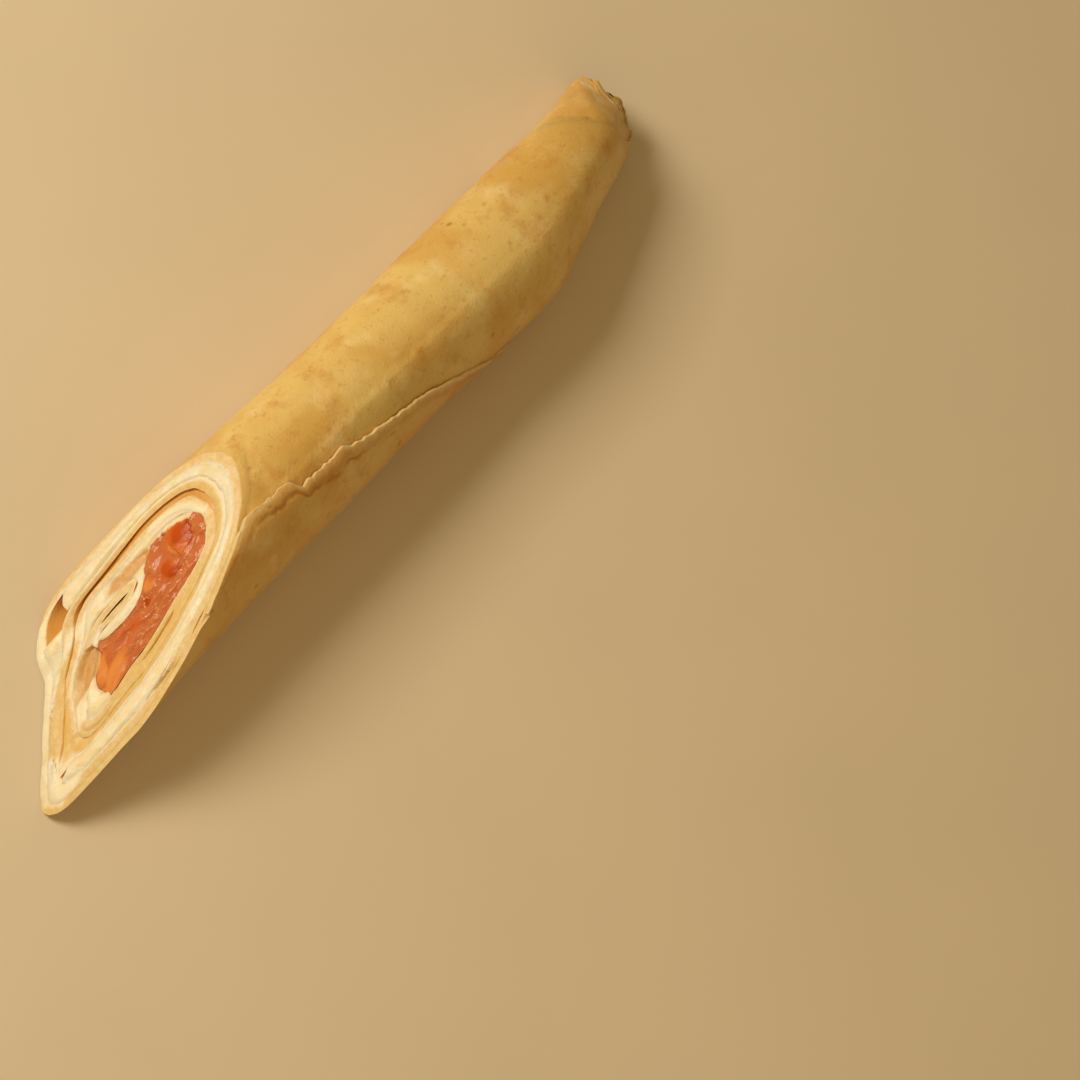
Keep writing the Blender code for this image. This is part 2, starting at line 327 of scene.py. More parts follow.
cut = {
    "centre": -30.0, "perAcross": -1.24, "perUp": 1.69,  # the knife's plane: its place along X
    "relief": [(0.34, 4.4, 61), (0.2, 1.6, 62), (0.13, 0.55, 63)],  # height, size, seed
    "reliefInwards": 0.85,  # keeps the highest places behind the knife's plane
    "bulges": {  # where the knife pulled the layers outwards
        "lowerLeft": {"line": [(-12.6, -6.6, 0.8), (-11.6, -10.6, 1.4), (-8.8, -12.8, 0.9)],
                      "rise": 2.3, "edge": 4.2},
    },
    "hollows": {
        "besideTheFold": {"line": [(-6.1, -0.7, 0.25), (-6.35, -2.6, 0.5), (-6.7, -4.6, 0.2)],
                          "depth": 1.7, "edge": 1.4},
        "underTheSalmon": {"line": [(-1.2, -7.6, 0.6), (0.3, -7.5, 1.1), (1.6, -7.9, 0.5)],
                           "depth": 2.3, "edge": 1.0},
        "bottomTurn": {"line": [(-3.2, -11.5, 0.1), (-1.0, -11.0, 0.3), (2.1, -10.7, 0.42),
                                (4.1, -10.7, 0.42), (6.3, -9.8, 0.42), (7.5, -8.0, 0.3),
                                (8.25, -5.5, 0.15), (8.2, -3.2, 0.02)],
                       "depth": 0.7, "edge": 0.8},
        "pits": {"line": [(11.25, 1.6, 0.0), (11.15, 3.4, 0.12), (11.0, 4.7, 0.02)],
                 "depth": 1.5, "edge": 0.35},
        "edgeNotch": {"line": [(9.7, 8.7, 0.05), (10.7, 9.4, 0.25)], "depth": 1.4, "edge": 0.5},
        "tipCrack": {"line": [(6.6, -11.7, 0.0), (8.0, -11.5, 0.15), (9.7, -11.0, 0.05)],
                     "depth": 1.2, "edge": 0.4},
        "foldCrumbs": {"line": [(-3.85, -3.45, 0.1), (-3.6, -3.7, 0.16)], "depth": 1.4, "edge": 0.25},
    },
}


def cutAt(points):
    # where the knife's plane crosses the line along X through these points of the section
    return cut["centre"] + cut["perAcross"] * points[..., 0] + cut["perUp"] * points[..., 1]


def hollowDepth(spots, names=None):
    depth = np.zeros(spots.shape[:-1])
    for name in names or cut["hollows"]:
        hollow = cut["hollows"][name]
        near = nearness(awayFromLine(spots, hollow["line"]), hollow["edge"])
        depth = np.maximum(depth, hollow["depth"] * near)
    return depth


def cutFace(spots):
    face = cutAt(spots) + cut["reliefInwards"] + hollowDepth(spots) - layeredNoise(spots, cut["relief"])
    for bulge in cut["bulges"].values():
        face = face - bulge["rise"] * nearness(awayFromLine(spots, bulge["line"]), bulge["edge"])
    return face


# All pieces of the roll are closed sheets between two grids of points. The first column lies on the cut

edges = {
    "grainSeed": 5, "grainLeast": 0.3,  # grain next to the grids, as a share of that halfway between them
    "bulgeWidth": 2.2,  # a narrower cut edge bulges less
    "weld": 0.002,  # closer points become one
}


def borderOf(rows, columns, thinRows, thinned):
    # once round the grid, as rows and columns
    last = list(range(columns)) if thinRows >= rows else thinned
    border = [(0, c) for c in range(columns)]
    border += [(r, columns - 1) for r in range(1, rows)]
    border += [(rows - 1, c) for c in last[-2::-1]]
    border += [(r, 0) for r in range(rows - 2, 0, -1)]
    return tuple(np.array(border).T)


def numberPoints(rows, columns, thinRows, thinned):
    # the points that are kept, and their numbers on both faces
    kept = np.ones((rows, columns), bool)
    kept[thinRows:] = False
    kept[thinRows:, thinned] = True
    index = np.full((2, rows, columns), -1)
    for face in (0, 1):
        index[face][kept] = np.arange(kept.sum()) + face * kept.sum()
    return kept, index


def gridFaces(index, thinRows, thinned):
    faces = []
    for face, at in enumerate(index.tolist()):
        for r in range(len(at) - 1):
            steps = range(len(at[0])) if r + 1 < thinRows else thinned
            for c, d in zip(steps, steps[1:]):
                near = at[r][c:d + 1] if r < thinRows else [at[r][c], at[r][d]]
                loop = near + [at[r + 1][d], at[r + 1][c]]
                faces.append(loop[::-1] if face else loop)
    return faces


def rimRings(outer, inner, spots, rim, border):
    # rings of points that close the edge between the grids, and lie on the uneven cut where they cross it.
    # With each come its shares of the way across the cut's edge and its points of the section
    rows, columns = outer.shape[:2]
    r, c = border
    top, low = outer[r, c], inner[r, c]
    back = np.clip(r, 1, rows - 2), np.clip(c, 1, columns - 2)
    outwards = unitRows((top + low) / 2 - (outer[back] + inner[back]) / 2)
    width = np.linalg.norm(spots[1] - spots[0], axis=-1)[r]
    rings = []
    for level in range(rim["levels"]):
        even = (level + 1) / (rim["levels"] + 1)
        rise = 4 * even * (1 - even)
        point = between(top, low, even)
        grain = rim["grain"] * softNoise(point, rim["grainSize"], edges["grainSeed"])
        lift = rim["edgeBulge"] * rise + grain * between(edges["grainLeast"], 1, rise)
        point = point + outwards * lift[:, None]
        share = rim["shares"][level][r] if "shares" in rim else np.full(len(r), even)
        spot = between(spots[0][r], spots[1][r], share[:, None])
        bulge = rim["cutBulge"] * np.minimum(width / edges["bulgeWidth"], 1) * dome(share)
        onCut = place(cutFace(spot) - bulge - rim["relief"](r, share, spot), spot)
        rings.append((np.where(c[:, None] == 0, onCut, point), share, spot))
    return rings


def ringFaces(rings):
    faces = []
    for ring, onward in zip(rings, rings[1:]):
        for k in range(len(ring)):
            n = (k + 1) % len(ring)
            faces.append([int(ring[n]), int(ring[k]), int(onward[k]), int(onward[n])])
    return faces


def addAmounts(mesh, amounts, kept, border, spots, rings):
    # what the materials mix their colours by, for each point of the mesh
    rows, columns = kept.shape
    r, c = border
    for key, (outerAmount, innerAmount, onCut, onEdge) in amounts.items():
        whole = []
        for face, given in enumerate((outerAmount, innerAmount)):
            grid = np.array(given) + np.zeros((rows, columns))
            grid[:, 0] = onCut(np.arange(rows), np.full(rows, float(face)), spots[face])
            whole.append(grid[kept])
        for _, share, spot in rings:
            whole.append(np.where(c == 0, onCut(r, share, spot), onEdge))
        layer = mesh.attributes.new(key, "FLOAT", "POINT")
        layer.data.foreach_set("value", np.concatenate(whole).astype(np.float32))


def buildSheet(name, outer, inner, spots, rim, amounts, finish, thinRows=None, thinned=None):
    # spots are the section's points on the cut for both grids, and rim says how the edge between them is
    # shaped. Each of amounts has a grid for each face, a function for the cut and a number for the other
    # edges. Rows from thinRows on keep only the thinned columns
    rows, columns = outer.shape[:2]
    thinRows = rows if thinRows is None else thinRows
    thinned = list(range(columns)) if thinned is None else thinned
    border = borderOf(rows, columns, thinRows, thinned)
    kept, index = numberPoints(rows, columns, thinRows, thinned)
    rings = rimRings(outer, inner, spots, rim, border)
    around = np.arange(len(border[0]))
    numbers = [2 * kept.sum() + level * len(around) + around for level in range(len(rings))]
    faces = gridFaces(index, thinRows, thinned) + ringFaces([index[0][border], *numbers, index[1][border]])
    points = np.concatenate([outer[kept], inner[kept], *(ring[0] for ring in rings)])
    mesh = bpy.data.meshes.new(name)
    mesh.from_pydata((points * mm).tolist(), [], faces)
    addAmounts(mesh, amounts, kept, border, spots, rings)
    work = bmesh.new()
    work.from_mesh(mesh)
    bmesh.ops.dissolve_degenerate(work, dist=edges["weld"] * mm, edges=work.edges)
    bmesh.ops.recalc_face_normals(work, faces=work.faces)
    work.to_mesh(mesh)
    work.free()
    mesh.shade_smooth()
    mesh.set_sharp_from_angle(angle=math.radians(rim["sharp"]))
    mesh.materials.append(finish)
    piece = bpy.data.objects.new(name, mesh)
    bpy.context.scene.collection.objects.link(piece)
    return piece


def linear(red, green, blue):
    # from the 0 to 255 values that a colour has on screen
    return tuple(((v / 255 + 0.055) / 1.055) ** 2.4 if v > 10.3 else v / 255 / 12.92
                 for v in (red, green, blue))


class Finish:
    # a material and short ways to add its nodes

    def __init__(self, name):
        self.material = bpy.data.materials.new(name)
        self.material.use_nodes = True
        self.nodes = self.material.node_tree.nodes
        self.links = self.material.node_tree.links
        self.shader = self.nodes["Principled BSDF"]
        self.place = self.nodes.new("ShaderNodeTexCoord").outputs["Object"]

    def plug(self, value, socket):
        if isinstance(value, bpy.types.NodeSocket):
            self.links.new(value, socket)
        elif isinstance(value, tuple) and len(value) == 3 and socket.type == "RGBA":
            socket.default_value = (*value, 1)
        else:
            socket.default_value = value

    def set(self, **values):
        for name, value in values.items():
            self.plug(value, self.shader.inputs[name.replace("_", " ")])

    def node(self, kind, output, **values):
        node = self.nodes.new(kind)
        for name, value in values.items():
            self.plug(value, node.inputs[name.replace("_", " ")])
        return node.outputs[output]

    def noise(self, size, detail=3.0, roughness=0.5, distortion=0.0):
        # size is that of the features, in millimetres
        return self.node("ShaderNodeTexNoise", "Fac", Vector=self.place, Scale=1 / (size * mm),
                         Detail=detail, Roughness=roughness, Distortion=distortion)

    def cells(self, size):
        # distance from the nearest of many scattered spots
        return self.node("ShaderNodeTexVoronoi", "Distance", Vector=self.place, Scale=1 / (size * mm))

    def attribute(self, name):
        node = self.nodes.new("ShaderNodeAttribute")
        node.attribute_name = name
        return node.outputs["Fac"]

    def bump(self, height, depth):
        return self.node("ShaderNodeBump", "Normal", Height=height, Distance=depth * mm, Strength=1.0)

    def ramp(self, value, low, high, out=(0.0, 1.0)):
        node = self.nodes.new("ShaderNodeMapRange")
        node.interpolation_type = "SMOOTHSTEP"
        names = ("Value", "From Min", "From Max", "To Min", "To Max")
        for name, given in zip(names, (value, low, high, *out)):
            self.plug(given, node.inputs[name])
        return node.outputs["Result"]

    def math(self, kind, first, second):
        node = self.nodes.new("ShaderNodeMath")
        node.operation = kind
        self.plug(first, node.inputs[0])
        self.plug(second, node.inputs[1])
        return node.outputs[0]

    def times(self, first, second):
        return self.math("MULTIPLY", first, second)

    def plus(self, first, second):
        return self.math("ADD", first, second)

    def mix(self, share, first, second):
        node = self.nodes.new("ShaderNodeMix")
        node.data_type = "RGBA"
        for number, value in ((0, share), (6, first), (7, second)):
            self.plug(value, node.inputs[number])
        return node.outputs[2]

    def area(self, noise, low, high):
        # where a noise, given by its size and detail, is high
        return self.ramp(self.noise(*noise), low, high)

    def ragged(self, name, size, low, high, depth):
        # an attribute's area with an edge that noise makes uneven
        edge = self.times(self.plus(self.noise(size, 3, 0.6), -0.5), depth * 2)
        return self.ramp(self.plus(self.attribute(name), edge), low, high)

    def dots(self, size, edge, core, noise, low, high):
        # scattered dots, in the noise's areas only
        return self.times(self.ramp(self.cells(size), edge, core), self.area(noise, low, high))

    def shine(self, size, roughness, smoother, rougher):
        return self.ramp(self.noise(size, 3), 0.3, 0.7, (roughness - smoother, roughness + rougher))


crepeColours = {
    # tan is the crepe's browning, and through brownAndShade also painted shade under the flap's edge, in
    # its furrow, on the shaded side and in the cut's hollow
    "golden": linear(238, 206, 128), "deep": linear(226, 182, 98), "tan": linear(206, 138, 58),
    "freckle": linear(174, 108, 48), "speck": linear(252, 228, 172),
    # honey is partly the cut crepe's own gold, partly painted shade between the white ridges
    "cutEdge": linear(246, 222, 174), "crumb": linear(232, 198, 138), "honey": linear(230, 188, 100),
    # inside is a deeper orange, painted shade in the gaps between the turns
    "cream": linear(255, 242, 214), "inside": linear(226, 156, 74),
    # soft clouds of a colour: noise, from, to, strength, colour
    "clouds": [((5.5, 4, 0.6), 0.5, 0.76, 0.5, "tan"), ((7.5, 4, 0.6), 0.52, 0.72, 0.5, "speck")],
    "fine": (1.5, 4, 0.65), "fineFrom": 0.54, "fineTo": 0.74, "fineTan": 0.5,  # low bumps, tanned on top
    # scattered dots: size, edge, core, noise that says where, from, to
    "pits": (6.5, 0.13, 0.05, (9, 2), 0.5, 0.62),
    "freckles": (1.7, 0.2, 0.06, (4, 3), 0.5, 0.6),
    "specks": (2.6, 0.16, 0.05, (6, 2), 0.52, 0.64),
    "roughness": 0.4, "bump": 0.09,
}


def crepeFinish():
    f = Finish("crepeBatter")
    c = crepeColours
    colour = f.mix(f.ramp(f.noise(17, 2, 0.5, 0.4), 0.36, 0.66), c["golden"], c["deep"])
    for noise, low, high, strength, name in c["clouds"]:
        colour = f.mix(f.times(f.area(noise, low, high), strength), colour, c[name])
    fine = f.noise(*c["fine"])
    colour = f.mix(f.times(f.ramp(fine, c["fineFrom"], c["fineTo"]), c["fineTan"]), colour, c["tan"])
    pits = f.dots(*c["pits"])
    for dots, strength, name in ((pits, 0.6, "freckle"), (f.dots(*c["freckles"]), 0.3, "freckle"),
                                 (f.dots(*c["specks"]), 0.35, "speck")):
        colour = f.mix(f.times(dots, strength), colour, c[name])
    # brownAndShade mixes in tan, as browning and as painted shade; inside mixes in the gaps' painted shade
    for name, other in (("brownAndShade", "tan"), ("inside", "inside")):
        colour = f.mix(f.attribute(name), colour, c[other])
    crumb = f.mix(f.area((1.1, 4, 0.6), 0.3, 0.7), c["cutEdge"], c["crumb"])
    # honey: gold partly the crepe's own, partly painted shade between the white ridges of cheese
    crumb = f.mix(f.ragged("honey", 1.4, 0.0, 1.0, 0.25), crumb, c["honey"])
    # pale mixes in the crumb's colour on the cut and edges, and painted light on the flap's lit edge
    colour = f.mix(f.attribute("pale"), colour, crumb)
    # film mixes in soft cheese on the cut, and near the far end pale patches with painted sheen
    colour = f.mix(f.ragged("film", 1.3, 0.05, 0.95, 0.3), colour, c["cream"])
    height = f.plus(f.times(fine, 0.7), f.noise(0.5, 3, 0.6))
    height = f.plus(height, f.times(pits, -0.7))
    f.set(Base_Color=colour, Roughness=f.shine(3.2, c["roughness"], 0.1, 0.12), Subsurface_Weight=0.2,
          Subsurface_Scale=1.6 * mm, Subsurface_Radius=(1.0, 0.5, 0.2), Specular_IOR_Level=0.42,
          Normal=f.bump(height, c["bump"]))
    return f.material


# tan is painted shade, in the hollows and along the bands' edges
creamColours = {"white": linear(255, 242, 214), "warm": linear(252, 228, 184), "tan": linear(222, 168, 96),
                "roughness": 0.36, "bump": 0.14}


def creamFinish():
    f = Finish("softCheese")
    c = creamColours
    colour = f.mix(f.area((2.6, 3), 0.35, 0.7), c["white"], c["warm"])
    # painted shade in the hollows and along the edges
    colour = f.mix(f.ragged("tint", 1.3, 0.0, 1.0, 0.2), colour, c["tan"])
    height = f.plus(f.noise(1.1, 4, 0.6), f.times(f.noise(0.35, 3), 0.4))
    f.set(Base_Color=colour, Roughness=f.shine(1.4, c["roughness"], 0.1, 0.14), Subsurface_Weight=0.35,
          Subsurface_Scale=2.0 * mm, Subsurface_Radius=(1.0, 0.7, 0.42), Specular_IOR_Level=0.5,
          Normal=f.bump(height, c["bump"]))
    return f.material


salmonColours = {
    # deep is the flesh's deeper red, and also painted shade in the creases and on the flakes' shaded sides
    "flesh": linear(218, 110, 38), "deep": linear(190, 76, 16), "pale": linear(236, 150, 72),
    # fat: pale specks of fat, and painted glints on the wet grain
    "pink": linear(212, 130, 84), "fatAndGlint": linear(255, 216, 156), "film": linear(255, 234, 200),
    "roughness": 0.42, "bump": 0.36, "coat": 0.32,
}


def salmonFinish():
    f = Finish("smokedSalmon")
    c = salmonColours
    grain = f.attribute("grain")
    colour = f.mix(f.ramp(f.noise(3.0, 3, 0.55, 1.0), 0.3, 0.7, (0.0, 0.35)), c["flesh"], c["deep"])
    colour = f.mix(f.ragged("pale", 1.6, 0.1, 0.9, 0.25), colour, c["pale"])
    colour = f.mix(f.times(grain, 0.65), colour, c["pink"])
    # the flesh's deeper red, with painted shade in the creases and on the flakes' shaded sides
    colour = f.mix(f.ragged("deep", 1.6, 0.1, 0.9, 0.2), colour, c["deep"])
    # pale flecks on the grainy parts: specks of fat and painted glints of the wet grain
    fatAndGlintFlecks = f.times(f.area((0.45, 3, 0.6), 0.56, 0.66), f.area((1.7, 2), 0.48, 0.62))
    colour = f.mix(f.times(f.times(fatAndGlintFlecks, grain), 0.8), colour, c["fatAndGlint"])
    colour = f.mix(f.ragged("film", 0.9, 0.25, 0.75, 0.6), colour, c["film"])
    fine = f.plus(f.noise(0.75, 4, 0.65), f.times(f.noise(0.3, 2), 0.4))
    height = f.plus(f.times(fine, f.plus(f.times(grain, 0.9), 0.12)), f.times(f.noise(1.6, 2), 0.2))
    rough = f.plus(f.shine(1.2, c["roughness"], 0.04, 0.2), f.times(grain, -0.12))
    f.set(Base_Color=colour, Roughness=rough, Subsurface_Weight=0.14, Subsurface_Scale=0.9 * mm,
          Subsurface_Radius=(1.0, 0.3, 0.08), IOR=1.3, Specular_IOR_Level=0.12,
          Coat_Weight=f.times(grain, c["coat"]), Coat_Roughness=0.14, Normal=f.bump(height, c["bump"]))
    return f.material


crepe = {
    # the flat sheet: its rim's form, and where the grid stops, which the middle of the rim bows out beyond
    "halfLength": 115.0, "outerRimPower": 1.7, "innerRimPower": 3.0, "farEnd": 113.4,
    "bowFrom": 98.0, "bowBack": 0.55, "bowNoise": (3.0, 31), "slantFade": 95.0, "rounds": 60,
    # distances between the grid's rows and columns, and the rows deep inside, which keep fewer columns
    "rowSteps": [(0, 0.38), (6, 0.44), (12, 0.68), (95, 0.78), (150, 0.78), (270, 0.76)],
    "columnSteps": [(-30, 0.5), (-22, 0.52), (26, 0.58), (44, 0.95), (60, 1.4), (100, 1.5), (114, 1.0)],
    "thinFrom": 104.0, "thinKeeps": 24, "thinSkips": 6, "thinUntil": 56.0,
    # how far round from the crown the flap's edge lies, by place along X
    "flapEdge": [
        (-60, 4.2), (-17.5, 4.2), (-15, 2.5), (-8.5, 0.5), (-5.5, 0.8), (0.5, 0.8), (2, 1.7), (3.5, 4.0),
        (5, 3.6), (9, 4.4), (12, 4.4), (14, 3.7), (17.5, 5.7), (20, 6.4), (26, 7.7), (36, 10.1),
        (45.5, 14.6), (51, 17.1)],
    "flapJoins": 40.0, "flapLeast": 0.15,  # from the table's end to the round rim
    "ragged": [(0.22, 1.5, 11), (0.4, 5.0, 12), (0.24, 0.7, 13), (0.14, 0.45, 14)],
    "foldEdge": (0.4, 4.0, 21),
    # the rim gets thin at its edge, and lies closer and thinner near the far end
    "edgeThin": 0.65, "edgeTaper": 2.4, "edgeFrom": 0.2, "faintOver": (66.0, 88.0), "faintTaper": 7.0,
    "faintThin": 0.6, "lift": 0.3, "liftReach": 2.4, "liftPatches": (3.0, 47, 0.45), "liftAtCut": 0.15,
    "liftOver": (-4.0, 0.0),
    # the outermost turn lies this much lower than the solid's, less so at the cut
    "lower": 0.37, "lowerAtCut": 0.35, "lowerFlap": 6.0, "lowerOver": (430.0, 400.0), "knifeReach": 2.5,
    "furrow": [(-10, 0.0), (-6, 1.0), (22, 1.0), (32, 0.0)],
    "furrowFrom": 2.7, "furrowDepth": 0.2, "furrowWidth": 0.8, "furrowSway": (0.7, 4.0, 48),
    "relief": [(0.05, 2.6, 41), (0.03, 1.3, 42)], "underRelief": [(0.04, 2.0, 44)],
    "wrinkles": [(0.16, 5.5, 43)], "wrinkleShape": (1.0, 0.35), "cutFade": 12.0,
    "blisters": {"count": 260, "seed": 8, "along": (-60, 112), "round": (0, 165), "size": (0.9, 2.6),
                 "rises": [-0.16, -0.1, 0.07, 0.1]},
    "gapFrom": [  # how deep behind the cut a turn starts to touch the one outside it, by the outer's angle
        (0, -1.2), (34, -1.2), (38, 0.0), (41, 0.0), (45, -1.2), (168, -1.2), (171, 99), (202, 99),
        (204, 9.5), (221, 9.5), (224, 99), (484, 99), (488, 0.0), (520, 0.5), (550, 0.4), (575, 0.2),
        (586, 0.5), (600, 0.8), (625, 0.85), (645, 0.75), (660, 0.5), (672, 0.0), (682, -1.2),
        (2000, -1.2)],
    "gapCloses": 1.2, "gapLeft": 0.02, "swellEnd": (-3.2, -7.3),  # the small fold doesn't swell
    "bedLeast": 0.2,  # where a turn swells further than this, its cut edge is the bed and the crepe's own
    "bedRings": (0.3, 0.6, 0.85, 1.0), "ownRings": (0.1, 0.3, 0.5, 0.7, 0.9),
    "creamNear": [  # how much soft cheese lies inside each turn
        (0, 0.1), (168, 0.15), (172, 1), (202, 1), (204, 0.6), (222, 0.6), (226, 1), (484, 1), (492, 0.4),
        (520, 0), (580, 0.1), (600, 0), (700, 0), (720, 0.3), (760, 0.1), (800, 0.1), (880, 0.5),
        (905, 1), (1040, 1), (1100, 0.6), (1160, 0.3), (2000, 0.6)],
    "filmReach": 0.6, "smearReach": 0.7, "hollowClears": 0.9, "hollowDepth": 0.8,
    "cutPale": 0.95, "hollowShade": 0.75, "hollowShadeDepth": 1.5,  # the cut gets painted shade in its deepest hollow
    # how golden each turn's own cut edge is, and how golden the bed between two turns is; the gold is
    # partly the crepe's own and partly painted shade between the white ridges
    "honeyEdge": [
        (0, 0.5), (60, 0.4), (150, 0.45), (180, 0.1), (230, 0), (300, 0.05), (350, 0.2), (400, 0.35),
        (450, 0.3), (500, 0.4), (531, 0.55), (555, 0.3), (590, 0.3), (620, 0.5), (650, 0.5), (700, 0.5),
        (740, 0.6), (801, 0.65), (850, 0.5), (891, 0.2), (940, 0.1), (1040, 0.1), (1080, 0.3),
        (1120, 0.6), (1180, 0.5), (1240, 0.1), (2000, 0)],
    "honeyBetween": [
        (0, 0.4), (140, 0.4), (170, 0), (484, 0), (500, 0.7), (520, 1), (560, 1), (590, 0.8), (600, 0.9),
        (690, 0.9), (720, 0.7), (801, 0.6), (880, 0.4), (2000, 0.2)],
    "honeyReach": 0.25,
    # heights of the low domes over each turn's own edge and over the bed, and the crease between them
    "dome": [(0, 0.2), (30, 0.08), (165, 0.12), (185, 0.3), (340, 0.3), (380, 0.12), (520, 0.12),
             (540, 0.3), (2000, 0.25)],
    "bedDome": 0.25, "creaseWidth": 0.14,
    "crease": [(0, 0.0), (756, 0.0), (762, 1.2), (788, 1.2), (794, 0.0), (2000, 0.0)],
    "smears": {  # soft cheese on the layers' cut edges: line, strength
        "corner": ([(2.2, -7.6, 0.5), (4.6, -7.5, 0.6)], 0.9),
        "bottomTip": ([(6.0, -12.4, 0.4), (8.3, -10.9, 0.9), (10.4, -9.6, 1.0), (11.3, -8.4, 0.4)], 0.9),
        "tipRim": ([(3.0, -13.2, 0.6), (6.5, -13.0, 0.7), (9.6, -11.9, 0.7), (11.6, -10.0, 0.5)], 0.6),
        "right": ([(9.0, 4.9, 0.3), (9.4, 0.7, 0.3), (9.2, -6.0, 0.3)], 0.7),
        "nextToSalmon": ([(-8.4, 1.0, 0.5), (-7.6, 4.0, 0.4), (-6.0, 6.4, 0.2), (-3.8, 8.2, 0.0)], 0.9),
        "top": ([(-6.0, 10.6, 0.2), (-2.0, 11.4, 0.3), (2.0, 10.9, 0.3), (5.0, 8.4, 0.3)], 0.75),
        "left": ([(-13.0, -1.0, 0.1), (-12.6, -5.0, 0.3), (-12.4, -8.0, 0.5)], 0.6),
        "lowLeft": ([(-12.0, -10.0, 0.5), (-10.0, -13.0, 0.7), (-4.0, -13.2, 0.7), (3.4, -13.2, 0.5)],
                    0.8),
        "ridge": ([(-6.2, -4.8, 0.2), (-6.0, -8.3, 0.5), (-5.7, -10.6, 0.9), (-4.0, -12.0, 1.0),
                   (-1.5, -12.2, 0.7)], 0.85),
    },
    "rim": {"levels": 9, "cutBulge": 0.0, "edgeBulge": 0.12, "grain": 0.1, "grainSize": 0.9, "sharp": 55},
}


def powerRim(share, power):
    return (1 - share ** power) ** (1 / power)


def rimBack(x, power):
    # how far the sheet's round rim has come in at a place along X
    length = np.clip(np.abs(x) / crepe["halfLength"], 0, 1)
    return section["half"] * (1 - powerRim(length, power))


def outerRimBack(x):
    # how far round the roll the flap's edge lies from the sheet's widest place
    back = rimBack(x, crepe["outerRimPower"])
    last, lastBack = crepe["flapEdge"][-1]
    onward = back - rimBack(last, crepe["outerRimPower"]) + lastBack
    onward = back + (onward - back) * np.clip(1 - (x - last) / crepe["flapJoins"], 0, 1)
    edge = np.where(x < last, fromTable(crepe["flapEdge"], x), onward)
    edge = edge + layeredNoise(np.asarray(x, float)[..., None], crepe["ragged"])
    return np.maximum(edge, crepe["flapLeast"])


def innerRimBack(x):
    height, size, seed = crepe["foldEdge"]
    return rimBack(np.maximum(x, 0), crepe["innerRimPower"]) + height * (1 + lineNoise(x, size, seed))


def rimReach(run):
    share = np.minimum(np.abs(section["half"] - run) / section["half"], 1)
    power = np.where(run < section["half"], crepe["outerRimPower"], crepe["innerRimPower"])
    return crepe["halfLength"] * powerRim(share, power)


def roomOutside(run):
    # how far it is from the crepe's outer face to the turn outside it, along the roll's section
    room = np.zeros(len(run))
    outer, angle = sectionAt(run, "outer"), angleAt(run)
    last = section["run"][np.linalg.norm(section["middle"] - crepe["swellEnd"], axis=1).argmin()]
    least, most = roll["oneTurn"]
    for k in np.nonzero((angle > roll["secondTurn"]) & (run < last))[0]:
        near = (section["angle"] > angle[k] - most) & (section["angle"] < angle[k] - least)
        room[k] = np.linalg.norm(section["inner"][near] - outer[k], axis=1).min()
    return np.maximum(room - crepe["gapLeft"], 0)


def crepeGrid():
    # the flat sheet's grid: its place along X and its run round the roll, at each crossing
    spots = spacedPlaces(crepe["rowSteps"], 0, section["length"])[:, None]
    columns = spacedPlaces(crepe["columnSteps"], cut["centre"], crepe["farEnd"])[None, :]
    half = section["half"]
    slant = np.clip(1 - (columns - cut["centre"]) / crepe["slantFade"], 0, 1)
    run = spots + 0 * columns
    for _ in range(crepe["rounds"]):
        x = columns + (cutAt(sectionAt(run, "middle")) - cut["centre"]) * slant
        fromFlap = spots + outerRimBack(x) * (1 - spots / half)
        fromFold = spots - innerRimBack(x) * (spots - half) / half
        run = 0.5 * run + 0.5 * np.where(spots < half, fromFlap, fromFold)
    bow = np.maximum(rimReach(run) - crepe["farEnd"], 0) + lineNoise(run, *crepe["bowNoise"])
    bow = (bow - crepe["bowBack"]) * rising(columns, crepe["bowFrom"], crepe["farEnd"])
    return spots[:, 0], columns[0], x, run, bow


def blisterRelief(x, run):
    # low bubbles and shallow pits of the fried side
    blisters = crepe["blisters"]
    chance = np.random.default_rng(blisters["seed"])
    height = np.zeros_like(x)
    for _ in range(blisters["count"]):
        centreX, centreRun, size = (chance.uniform(*blisters[key]) for key in ("along", "round", "size"))
        rise = chance.choice(blisters["rises"])
        r, c = np.nonzero((np.abs(x - centreX) < size) & (np.abs(run - centreRun) < size))
        height[r, c] += rise * nearness(np.hypot(x[r, c] - centreX, run[r, c] - centreRun), size)
    return height


def flapFurrow(x, run):
    # a shallow furrow beside the flap's edge
    sway, size, seed = crepe["furrowSway"]
    away = np.abs(run - outerRimBack(x) - crepe["furrowFrom"] - sway * lineNoise(x, size, seed))
    return fromTable(crepe["furrow"], x) * nearness(away, crepe["furrowWidth"])


